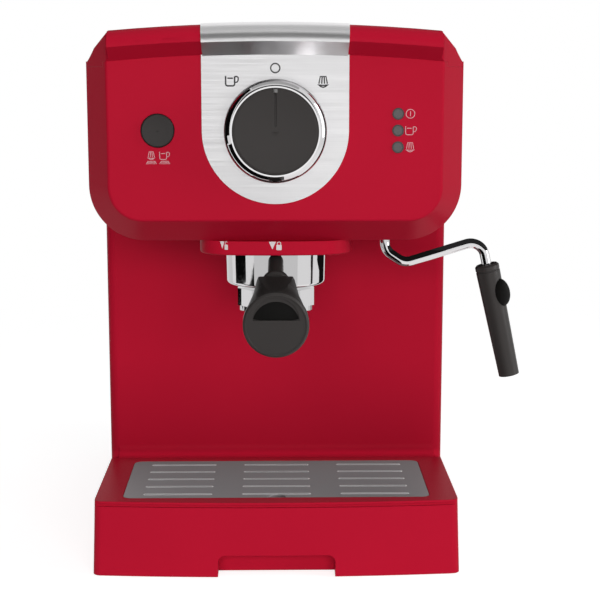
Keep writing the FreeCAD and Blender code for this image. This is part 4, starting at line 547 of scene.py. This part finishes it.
def ring_points(radius, start=0.0, end=360.0, steps=24, middle=(0, 0)):
    """Points round a ring or an arc, angles in degrees from the right."""
    turns = [math.radians(start + (end - start) * step / steps) for step in range(steps + 1)]
    return [(middle[0] + radius * math.cos(turn), middle[1] + radius * math.sin(turn)) for turn in turns]


def scaled(lines, share, up=0.0):
    """The same lines, smaller and raised."""
    return [[(across * share, height * share + up) for across, height in points] for points in lines]


CUP = [
    [
        (-3.6, 2.8), (-3.6, -1.7), (-3.3, -2.5), (-2.5, -2.8),
        (0.5, -2.8), (1.2, -2.5), (1.5, -1.7), (1.5, 2.5),
    ],
    [(-2.55, 1.5), (0.55, 1.5)],
    [(1.5, 2.45), (2.8, 2.45), (3.5, 2.0), (3.6, 1.2), (3.4, 0.1), (2.8, -0.7), (1.5, -0.9)],
]
REST = [ring_points(2.6)]
JETS = [
    [(-2.4, -1.1), (-1.6, 3.0), (1.6, 3.0), (2.4, -1.1)],
    [(-0.8, -1.1), (-0.55, 3.0)],
    [(0.8, -1.1), (0.55, 3.0)],
    [
        (-3.05, -1.6), (-1.5, -2.6), (0, -3.15), (1.5, -2.6), (3.05, -1.6),
        (1.5, -1.9), (0, -2.05), (-1.5, -1.9), (-3.05, -1.6),
    ],
]
POWER = [ring_points(2.5), [(0, 1.4), (0, -1.4)]]
PUSH = [[(-2.0, -2.0), (2.0, -2.0), (3.0, -3.5), (-3.0, -3.5), (-2.0, -2.0)], [(-2.4, -2.9), (2.4, -2.9)]]
PUSH_JETS = scaled(JETS, 0.74, up=1.2) + PUSH
PUSH_CUP = scaled(CUP, 0.78, up=1.2) + PUSH
READY_JETS = scaled(JETS, 0.86)
READY_CUP = scaled(CUP, 0.86)


def mesh_from_runs(name, runs, **settings):
    """A mesh made from a curve of straight runs; a run that ends where it starts is closed."""
    bpy.ops.object.add(type="CURVE")
    drawing = bpy.context.object
    drawing.name = name
    for setting, value in settings.items():
        setattr(drawing.data, setting, value)
    for points in runs:
        closed = (Vector(points[0]) - Vector(points[-1])).length < 0.01
        kept = points[:-1] if closed else points
        run = drawing.data.splines.new("POLY")
        run.points.add(len(kept) - 1)
        run.use_cyclic_u = closed
        for corner, spot in zip(run.points, kept):
            corner.co = (*(value * MM for value in spot), 1)
    only(drawing)
    bpy.ops.object.convert(target="MESH")
    return drawing


def draw_mark(name, lines, stroke, film, fills=()):
    """A printed mark in the upright plane at the origin, its face towards the front."""
    upright = [[(right, 0, up) for right, up in points] for points in lines]
    mark = mesh_from_runs(
        name, upright, dimensions="3D", bevel_depth=stroke / 2, bevel_resolution=1, use_fill_caps=True
    )
    mark.scale.y = 2 * film / stroke
    bpy.ops.object.transform_apply(location=False, rotation=False, scale=True)
    blots = []
    for corners in fills:
        flat = [(right, up, 0) for right, up in corners + corners[:1]]
        blot = mesh_from_runs(name + "_fill", [flat], dimensions="2D", fill_mode="BOTH", extrude=film)
        blot.rotation_euler.x = math.pi / 2
        bpy.ops.object.transform_apply(location=False, rotation=True, scale=False)
        blots.append(blot)
    if blots:
        only(mark, *blots)
        bpy.ops.object.join()
    return mark


class ESPRESSO_OT_face_marks(bpy.types.Operator):
    """Print the marks on the control plate and the red face"""

    bl_idname = "espresso.face_marks"
    bl_label = "Marks on the face"

    def execute(self, context):
        sizes = context.scene.espresso_marks
        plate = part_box("control_plate")[0].y
        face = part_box("fascia")[0].y
        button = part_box("brew_button")
        button_x = (button[0].x + button[1].x) / 2
        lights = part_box("indicator_lights")
        radius = (lights[1].x - lights[0].x) / 2
        step = (lights[1].z - lights[0].z) / 2 - radius
        middle = (lights[1].z + lights[0].z) / 2
        beside = lights[0].x + radius + sizes.light_gap
        under = middle - sizes.push_drop
        for name, lines, ground, across, height, ink in (
            ("mark_brew", CUP, plate, *sizes.brew, "dark_ink"),
            ("mark_rest", REST, plate, *sizes.rest, "dark_ink"),
            ("mark_steam", JETS, plate, *sizes.steam, "dark_ink"),
            ("mark_push_steam", PUSH_JETS, face, button_x - sizes.push_side, under, "pale_ink"),
            ("mark_push_brew", PUSH_CUP, face, button_x + sizes.push_side, under, "pale_ink"),
            ("mark_power", POWER, face, beside, middle + step, "pale_ink"),
            ("mark_brew_ready", READY_CUP, face, beside + sizes.ready_shift, middle, "pale_ink"),
            ("mark_steam_ready", READY_JETS, face, beside, middle - step, "pale_ink"),
        ):
            stroke = sizes.stroke if ink == "dark_ink" else sizes.fine_stroke
            mark = draw_mark(name, lines, stroke, sizes.film)
            mark.location = (across, ground, height)
            settle(mark, ink, "machine")
        first = draw_mark("light_rim_1", [ring_points(radius / MM)], sizes.stroke, sizes.film)
        rims = [first, copied(first, "light_rim_2"), copied(first, "light_rim_3")]
        for row, rim in zip((-1, 0, 1), rims):
            rim.location = (lights[0].x + radius, lights[0].y, middle + row * step)
            settle(rim, "dark_ink", "machine")
        return {"FINISHED"}


ARROW = [(-4.1, 2.4), (0.1, 2.4), (-2.0, -2.2)]
LOCK = [(0.3, 0.3), (0.7, 0.5), (3.1, 0.5), (3.5, 0.3), (3.5, -2.3), (3.1, -2.6), (0.7, -2.6), (0.3, -2.3)]
CLOSED_BOW = [(0.9, 0.4), (0.9, 1.2)] + ring_points(1.0, 180, 0, 8, (1.9, 1.3)) + [(2.9, 0.4)]
OPEN_BOW = [(0.9, 0.4), (0.9, 1.2)] + ring_points(1.0, 180, 20, 8, (1.9, 1.3))


class ESPRESSO_OT_collar_marks(bpy.types.Operator):
    """Print the lock marks on the brew collar"""

    bl_idname = "espresso.collar_marks"
    bl_label = "Marks on the collar"

    def execute(self, context):
        sizes = context.scene.espresso_marks
        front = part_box("brew_collar")[0].y
        for name, bow, place, back, turn, width in (
            ("mark_locked", CLOSED_BOW, sizes.locked, 0, 0, 1),
            (
                "mark_open", OPEN_BOW, sizes.unlocked,
                sizes.unlocked_back, sizes.unlocked_turn, sizes.unlocked_width,
            ),
        ):
            mark = draw_mark(name, [bow], sizes.fine_stroke, sizes.film, [ARROW, LOCK])
            mark.rotation_euler.z = turn
            mark.scale.x = width
            mark.location = (place[0], front + back, place[1])
            settle(mark, "white_ink", "machine")
        return {"FINISHED"}


# Small trim


# Turns in degrees of the short straight cuts that make the bow of the thumb pad's foot
BOW_TURNS = range(-12, 13, 4)


class ESPRESSO_OT_slot_lips(bpy.types.Operator):
    """Roll a lip round every slot of the drip grill, in paler steel that paints a highlight along its edge"""

    bl_idname = "espresso.slot_lips"
    bl_label = "Lips of the grill's slots"

    def execute(self, context):
        trim = context.scene.espresso_trim
        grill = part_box("drip_grill")
        bpy.ops.object.select_all(action="DESELECT")
        corners = 16
        # Turned by half a corner, so that each end of the slot has the same number of corners.
        bpy.ops.mesh.primitive_circle_add(
            vertices=corners, radius=trim.slot_width / 2, rotation=(0, 0, math.pi / corners)
        )
        first = bpy.context.object
        first.name = "slot_lips"
        bpy.ops.object.transform_apply(location=False, rotation=True, scale=False)
        run = (trim.slot_length - trim.slot_width) / 2
        for side in (-1, 1):
            pick(first, lambda corner: corner.x * side > 0)
            bpy.ops.object.mode_set(mode="EDIT")
            bpy.ops.transform.translate(value=(side * run, 0, 0))
            bpy.ops.object.mode_set(mode="OBJECT")
        bpy.ops.object.convert(target="CURVE")
        first.data.bevel_depth = trim.lip_radius
        first.data.bevel_resolution = 2
        bpy.ops.object.convert(target="MESH")
        first.scale.z = trim.lip_flat
        front = grill[0].y + trim.slot_margin
        spots = [
            (column * trim.slot_side, front + row * trim.slot_pitch, grill[1].z)
            for row in range(trim.slot_rows)
            for column in (-1, 0, 1)
        ]
        lips = [first] + [copied(first, "slot_lip") for _ in spots[1:]]
        for lip, spot in zip(lips, spots):
            lip.location = spot
        only(*lips)
        bpy.ops.object.transform_apply(location=True, rotation=True, scale=True)
        bpy.ops.object.join()
        # The lips take the paler steel: a painted highlight along each slot's edge.
        settle(first, "rolled_stainless", "grill")
        return {"FINISHED"}


class ESPRESSO_OT_thumb_pad(bpy.types.Operator):
    """Set the rubber pad into the half-round scoop of the handle's end cap"""

    bl_idname = "espresso.thumb_pad"
    bl_label = "Pad in the handle's end"

    def execute(self, context):
        trim = context.scene.espresso_trim
        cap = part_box("handle_cap")
        reach = (cap[1].x - cap[0].x) / 2
        bpy.ops.object.select_all(action="DESELECT")
        bpy.ops.mesh.primitive_circle_add(vertices=64, radius=reach * trim.pad_reach, fill_type="NGON")
        pad = bpy.context.object
        pad.name = "thumb_pad"
        bpy.ops.object.mode_set(mode="EDIT")
        bow = reach * trim.pad_bow
        bow_middle = Vector((0, reach * trim.pad_foot + bow, 0))
        for degrees in BOW_TURNS:
            inward = Vector((-math.sin(math.radians(degrees)), math.cos(math.radians(degrees)), 0))
            bpy.ops.mesh.select_all(action="SELECT")
            bpy.ops.mesh.bisect(plane_co=bow_middle - bow * inward, plane_no=inward, clear_inner=True)
        bpy.ops.mesh.select_all(action="SELECT")
        bpy.ops.transform.translate(value=(0, 0, -trim.pad_height))
        bpy.ops.mesh.extrude_region_move(TRANSFORM_OT_translate={"value": (0, 0, 2 * trim.pad_height)})
        bpy.ops.mesh.select_all(action="SELECT")
        bpy.ops.mesh.normals_make_consistent(inside=False)
        bpy.ops.object.mode_set(mode="OBJECT")
        rounding = pad.modifiers.new("rounding", "BEVEL")
        rounding.width = trim.pad_height / 2
        rounding.segments = 2
        bpy.ops.object.modifier_apply(modifier="rounding")
        middle = (cap[0] + cap[1]) / 2
        pad.rotation_euler = (math.pi / 2 + trim.cap_tilt, 0, 0)
        pad.location = (0, middle.y - trim.pad_seat, middle.z)
        settle(pad, "matt_rubber", "portafilter")
        return {"FINISHED"}


class ESPRESSO_OT_thumb_rest(bpy.types.Operator):
    """Pull the rubber skin over the thumb lobe of the frother sleeve"""

    bl_idname = "espresso.thumb_rest"
    bl_label = "Thumb rest of the sleeve"

    def execute(self, context):
        trim = context.scene.espresso_trim
        bpy.ops.object.select_all(action="DESELECT")
        # A ball one unit wide, which the scale then sizes.
        bpy.ops.mesh.primitive_uv_sphere_add(
            segments=48, ring_count=24, radius=0.5, location=(0, -trim.rest_reach, 0)
        )
        skin = bpy.context.object
        skin.name = "thumb_rest"
        skin.scale = (trim.rest_width, trim.rest_thick, trim.rest_length)
        bpy.ops.object.transform_apply(location=True, rotation=True, scale=True)
        bpy.ops.object.mode_set(mode="EDIT")
        bpy.ops.mesh.select_all(action="SELECT")
        bpy.ops.mesh.bisect(
            plane_co=(0, -trim.rest_root, 0), plane_no=(0, -1, 0), use_fill=True, clear_inner=True
        )
        bpy.ops.mesh.select_all(action="SELECT")
        bpy.ops.mesh.normals_make_consistent(inside=False)
        bpy.ops.object.mode_set(mode="OBJECT")
        joints = {joint["name"]: joint for joint in frame["record"]["behaviour"]["joints"]}
        down = Vector(joints["sleeve_pull"]["axis"])
        tilt = Vector((0, 0, 1)).rotation_difference(down).to_matrix().to_4x4()
        turn = Matrix.Rotation(-trim.rest_turn, 4, "Z")
        skin.matrix_world = Matrix.Translation(Vector(trim.sleeve_top) + trim.rest_drop * down) @ tilt @ turn
        settle(skin, "matt_rubber", "sleeve")
        return {"FINISHED"}


class ESPRESSO_OT_pointer_tip(bpy.types.Operator):
    """Add the small pale tip at the dial's pointer"""

    bl_idname = "espresso.pointer_tip"
    bl_label = "Tip of the dial's pointer"

    def execute(self, context):
        trim = context.scene.espresso_trim
        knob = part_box("dial_knob")
        bpy.ops.object.select_all(action="DESELECT")
        height = knob[1].z - trim.tip_edge - trim.tip_length / 2
        bpy.ops.mesh.primitive_cube_add(size=1, location=(0, knob[0].y + trim.tip_sink, height))
        tip = bpy.context.object
        tip.name = "pointer_tip"
        tip.scale = (trim.tip_width, trim.tip_depth, trim.tip_length)
        bpy.ops.object.transform_apply(location=False, rotation=False, scale=True)
        rounding = tip.modifiers.new("rounding", "BEVEL")
        rounding.width = trim.tip_round
        rounding.segments = 3
        bpy.ops.object.modifier_apply(modifier="rounding")
        settle(tip, "die_cast_alloy", "dial")
        return {"FINISHED"}


# Studio


WHITE = linear("FFFFFF")
# Depth of the column's front wall in the shared frame
COLUMN_FRONT = -36 * MM


def seen_rays(tree):
    """A socket that is 1 for what is seen, mirrored or shows through, and 0 for the light that it gives."""
    path = put(tree, "ShaderNodeLightPath")
    mirrored = put(
        tree, "ShaderNodeMath", {"operation": "MAXIMUM"},
        links={0: path.outputs["Is Glossy Ray"], 1: path.outputs["Is Transmission Ray"]},
    )
    seen = put(
        tree, "ShaderNodeMath", {"operation": "MAXIMUM"},
        links={0: path.outputs["Is Camera Ray"], 1: mirrored.outputs[0]},
    )
    return seen.outputs[0]


def hang(name, material, spot, turn, width, height, hidden_from):
    """Hangs a flat sheet in the studio that the named kinds of ray don't meet, its turn in degrees."""
    bpy.ops.object.select_all(action="DESELECT")
    bpy.ops.mesh.primitive_plane_add(size=1, location=spot)
    sheet = bpy.context.object
    sheet.name = name
    sheet.scale = (width, height, 1)
    sheet.rotation_euler = [math.radians(angle) for angle in turn]
    for ray in hidden_from:
        setattr(sheet, "visible_" + ray, False)
    sheet.data.materials.append(material)


class ESPRESSO_OT_studio(bpy.types.Operator):
    """Set the white room, the pale floor, the soft lamps, the cards, the net and the camera"""

    bl_idname = "espresso.studio"
    bl_label = "Studio"

    def execute(self, context):
        scene = context.scene
        studio = scene.espresso_studio
        scene.view_settings.view_transform = "Standard"
        self.room(scene, studio)
        self.floor(studio)
        self.lamps(studio)
        self.cards()
        self.net()
        camera = bpy.data.objects.new("camera", bpy.data.cameras.new("camera"))
        camera.data.lens = studio.lens
        camera.location = studio.camera
        camera.rotation_euler = (studio.pitch, 0, studio.yaw)
        scene.collection.objects.link(camera)
        scene.camera = camera
        return {"FINISHED"}

    def room(self, scene, studio):
        """A white room: full white where it is seen or mirrored, and a plain level for its light."""
        world = bpy.data.worlds.new("white_room")
        world.use_nodes = True
        tree = world.node_tree
        tree.nodes.clear()
        level = put(
            tree, "ShaderNodeMapRange", values={"To Min": studio.sky, "To Max": 1.0},
            links={"Value": seen_rays(tree)},
        )
        sky = put(
            tree, "ShaderNodeBackground", values={"Color": WHITE}, links={"Strength": level.outputs["Result"]}
        )
        put(tree, "ShaderNodeOutputWorld", links={"Surface": sky.outputs["Background"]})
        scene.world = world

    def floor(self, studio):
        """A pale floor that takes the shadow near the machine and is plain white further off."""
        bpy.ops.object.select_all(action="DESELECT")
        bpy.ops.mesh.primitive_plane_add(size=studio.floor, location=(0, 0, 0))
        floor = bpy.context.object
        floor.name = "floor"
        material, tree = new_material("pale_floor")
        seen = seen_rays(tree)
        place = put(tree, "ShaderNodeTexCoord")
        away = put(
            tree, "ShaderNodeVectorMath", {"operation": "LENGTH"}, links={0: place.outputs["Object"]}
        )
        far = put(
            tree, "ShaderNodeMapRange",
            values={"From Min": studio.floor_near, "From Max": studio.floor_far},
            links={"Value": away.outputs["Value"]},
        )
        own = put(tree, "ShaderNodeMath", {"operation": "MULTIPLY"}, {1: studio.paper}, {0: seen})
        white = put(
            tree, "ShaderNodeEmission", values={"Color": WHITE}, links={"Strength": own.outputs[0]}
        )
        matt = put(tree, "ShaderNodeBsdfDiffuse", values={"Color": linear("CFCFCF")})
        near = put(
            tree, "ShaderNodeAddShader", links={0: matt.outputs["BSDF"], 1: white.outputs["Emission"]}
        )
        distant = put(tree, "ShaderNodeEmission", values={"Color": WHITE}, links={"Strength": seen})
        ground = put(
            tree, "ShaderNodeMixShader",
            links={0: far.outputs["Result"], 1: near.outputs["Shader"], 2: distant.outputs["Emission"]},
        )
        put(tree, "ShaderNodeOutputMaterial", links={"Surface": ground.outputs["Shader"]})
        floor.data.materials.append(material)

    def lamps(self, studio):
        """Soft boxes, each turned to the middle of the machine, places and sizes in metres."""
        aim = Vector((0, -0.05, 0.18))
        for name, power, spot, width, height, mirrored in (
            ("front_lamp", studio.key, (0.1, -2.4, 0.5), 2.2, 1.4, False),
            ("side_lamp", studio.side, (1.6, -0.6, 0.55), 0.5, 1.3, True),
            ("top_lamp", studio.top, (0, 0.25, 1.9), 1.6, 1.2, False),
        ):
            lamp = bpy.data.lights.new(name, "AREA")
            lamp.energy = power
            lamp.shape = "RECTANGLE"
            lamp.size = width
            lamp.size_y = height
            stand = bpy.data.objects.new(name, lamp)
            stand.location = spot
            stand.rotation_euler = (aim - Vector(spot)).to_track_quat("-Z", "Y").to_euler()
            stand.visible_glossy = mirrored
            bpy.context.scene.collection.objects.link(stand)

    def cards(self):
        """Cards round the set that only the metal mirrors: they give it dark and pale bands.

        Places and sizes are in metres. A card shows on one side only and is clear from behind.
        """
        wall_gap = 1 * MM
        face_gap = 0.3 * MM
        wall = COLUMN_FRONT - wall_gap
        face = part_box("fascia")[0].y - face_gap
        unseen = ("camera", "diffuse", "shadow", "transmission")
        for name, shade, glow, spot, turn, width, height in (
            ("left_low_card", "0A0A0A", 1, (-0.9, -0.065, 0.075), (90, 0, 90), 0.55, 0.15),
            ("left_card", "0A0A0A", 1, (-0.9, -0.25, 0.925), (90, 0, 90), 1.3, 1.55),
            ("front_card", "0A0A0A", 1, (-0.3775, -0.76, 0.003), (0, 0, 0), 0.845, 1.2),
            ("wand_card", "2E2E2E", 1, (0.12, -0.115, 0.2), (180, 0, 0), 0.09, 0.17),
            ("roof_card", "BEBEBE", 1, (0, -0.3, 1.8), (180, 0, 0), 1.8, 1.4),
            ("panel_card", "FFFFFF", 1.35, (0, -1.6, 0.29), (-90, 0, 0), 1.8, 0.44),
            ("hood_card", "505050", 1, (0, -1.4, 1.12), (-90, 0, 0), 2.4, 1.24),
            ("head_card", "1A1A1A", 1, (0, -0.119, 0.19), (180, 0, 0), 0.21, 0.163),
            ("cup_card", "E6E6E6", 1, (0, -0.118, 0.17), (-90, 0, 0), 0.07, 0.036),
            ("middle_card", "E6E6E6", 1, (0, wall, 0.16), (90, 0, 0), 0.1, 0.076),
            ("left_wall_card", "E6E6E6", 1, (-0.077, wall, 0.16), (90, 0, 0), 0.054, 0.076),
            ("right_wall_card", "141414", 1, (0.077, wall, 0.16), (90, 0, 0), 0.054, 0.076),
            ("right_gap_card", "141414", 1, (0.127, wall, 0.182), (90, 0, 0), 0.046, 0.04),
            ("left_face_card", "1E1C1C", 1, (-0.077, face, 0.27), (90, 0, 0), 0.066, 0.11),
            ("right_face_card", "1E1C1C", 1, (0.077, face, 0.27), (90, 0, 0), 0.066, 0.11),
            ("low_face_card", "1E1C1C", 1, (0, face, 0.206), (90, 0, 0), 0.22, 0.03),
            ("low_card", "909090", 1, (0, wall, 0.084), (90, 0, 0), 0.208, 0.076),
        ):
            material, tree = new_material(name)
            side = put(tree, "ShaderNodeNewGeometry")
            paper = put(tree, "ShaderNodeEmission", values={"Color": linear(shade), "Strength": glow})
            clear = put(tree, "ShaderNodeBsdfTransparent")
            sheet = put(
                tree, "ShaderNodeMixShader",
                links={0: side.outputs["Backfacing"], 1: paper.outputs["Emission"], 2: clear.outputs["BSDF"]},
            )
            put(tree, "ShaderNodeOutputMaterial", links={"Surface": sheet.outputs["Shader"]})
            hang(name, material, spot, turn, width, height, unseen)

    def net(self):
        """A thin net close to the column: it holds the lamps off its foot and its right side.

        It is graded over shares of its own height and width, counted from its middle.
        """
        light_at_foot = 0.45
        light_at_right = 0.8
        gap = 7 * MM
        material, tree = new_material("graded_net")
        place = put(tree, "ShaderNodeTexCoord")
        part = put(tree, "ShaderNodeSeparateXYZ", links={0: place.outputs["Object"]})
        upward = put(
            tree, "ShaderNodeMapRange",
            values={"From Min": -0.53, "From Max": -0.07, "To Min": light_at_foot, "To Max": 1.0},
            links={"Value": part.outputs["Y"]},
        )
        rightward = put(
            tree, "ShaderNodeMapRange",
            values={"From Min": -0.1, "From Max": 0.45, "To Min": 1.0, "To Max": light_at_right},
            links={"Value": part.outputs["X"]},
        )
        let_by = put(
            tree, "ShaderNodeMath", {"operation": "MULTIPLY"},
            links={0: upward.outputs["Result"], 1: rightward.outputs["Result"]},
        )
        gauze = put(tree, "ShaderNodeBsdfTransparent", links={"Color": let_by.outputs[0]})
        put(tree, "ShaderNodeOutputMaterial", links={"Surface": gauze.outputs["BSDF"]})
        spot = (0, COLUMN_FRONT - gap, 0.125)
        unseen = ("camera", "diffuse", "glossy", "transmission")
        hang("column_net", material, spot, (90, 0, 0), 0.23, 0.15, unseen)


class ESPRESSO_PT_sidebar(bpy.types.Panel):
    """The machine's steps and settings"""

    bl_idname = "ESPRESSO_PT_sidebar"
    bl_label = "Espresso machine"
    bl_space_type = "VIEW_3D"
    bl_region_type = "UI"
    bl_category = "Espresso"

    def draw(self, context):
        column = self.layout.column()
        for step in STEPS:
            column.operator(step.bl_idname)
        for group in GROUPS:
            settings = getattr(context.scene, group)
            column.label(text=settings.bl_rna.name)
            for name in settings.__annotations__:
                column.prop(settings, name)


GROUPS = {
    "espresso_colours": EspressoColours,
    "espresso_marks": EspressoMarks,
    "espresso_trim": EspressoTrim,
    "espresso_studio": EspressoStudio,
}
STEPS = (
    ESPRESSO_OT_finishes,
    ESPRESSO_OT_face_marks,
    ESPRESSO_OT_collar_marks,
    ESPRESSO_OT_slot_lips,
    ESPRESSO_OT_thumb_pad,
    ESPRESSO_OT_thumb_rest,
    ESPRESSO_OT_pointer_tip,
    ESPRESSO_OT_studio,
)


def register():
    """Registers the settings, the steps and the sidebar."""
    for group in GROUPS.values():
        bpy.utils.register_class(group)
    for step in STEPS:
        bpy.utils.register_class(step)
    bpy.utils.register_class(ESPRESSO_PT_sidebar)
    for name, group in GROUPS.items():
        setattr(bpy.types.Scene, name, PointerProperty(type=group))


def unregister():
    """Takes back what register does, in the opposite order."""
    for name in GROUPS:
        delattr(bpy.types.Scene, name)
    bpy.utils.unregister_class(ESPRESSO_PT_sidebar)
    for step in reversed(STEPS):
        bpy.utils.unregister_class(step)
    for group in reversed(GROUPS.values()):
        bpy.utils.unregister_class(group)


def main():
    """Runs every step in order."""
    register()
    bpy.ops.espresso.finishes()
    bpy.ops.espresso.face_marks()
    bpy.ops.espresso.collar_marks()
    bpy.ops.espresso.slot_lips()
    bpy.ops.espresso.thumb_pad()
    bpy.ops.espresso.thumb_rest()
    bpy.ops.espresso.pointer_tip()
    bpy.ops.espresso.studio()


if __name__ == "__main__":
    main()
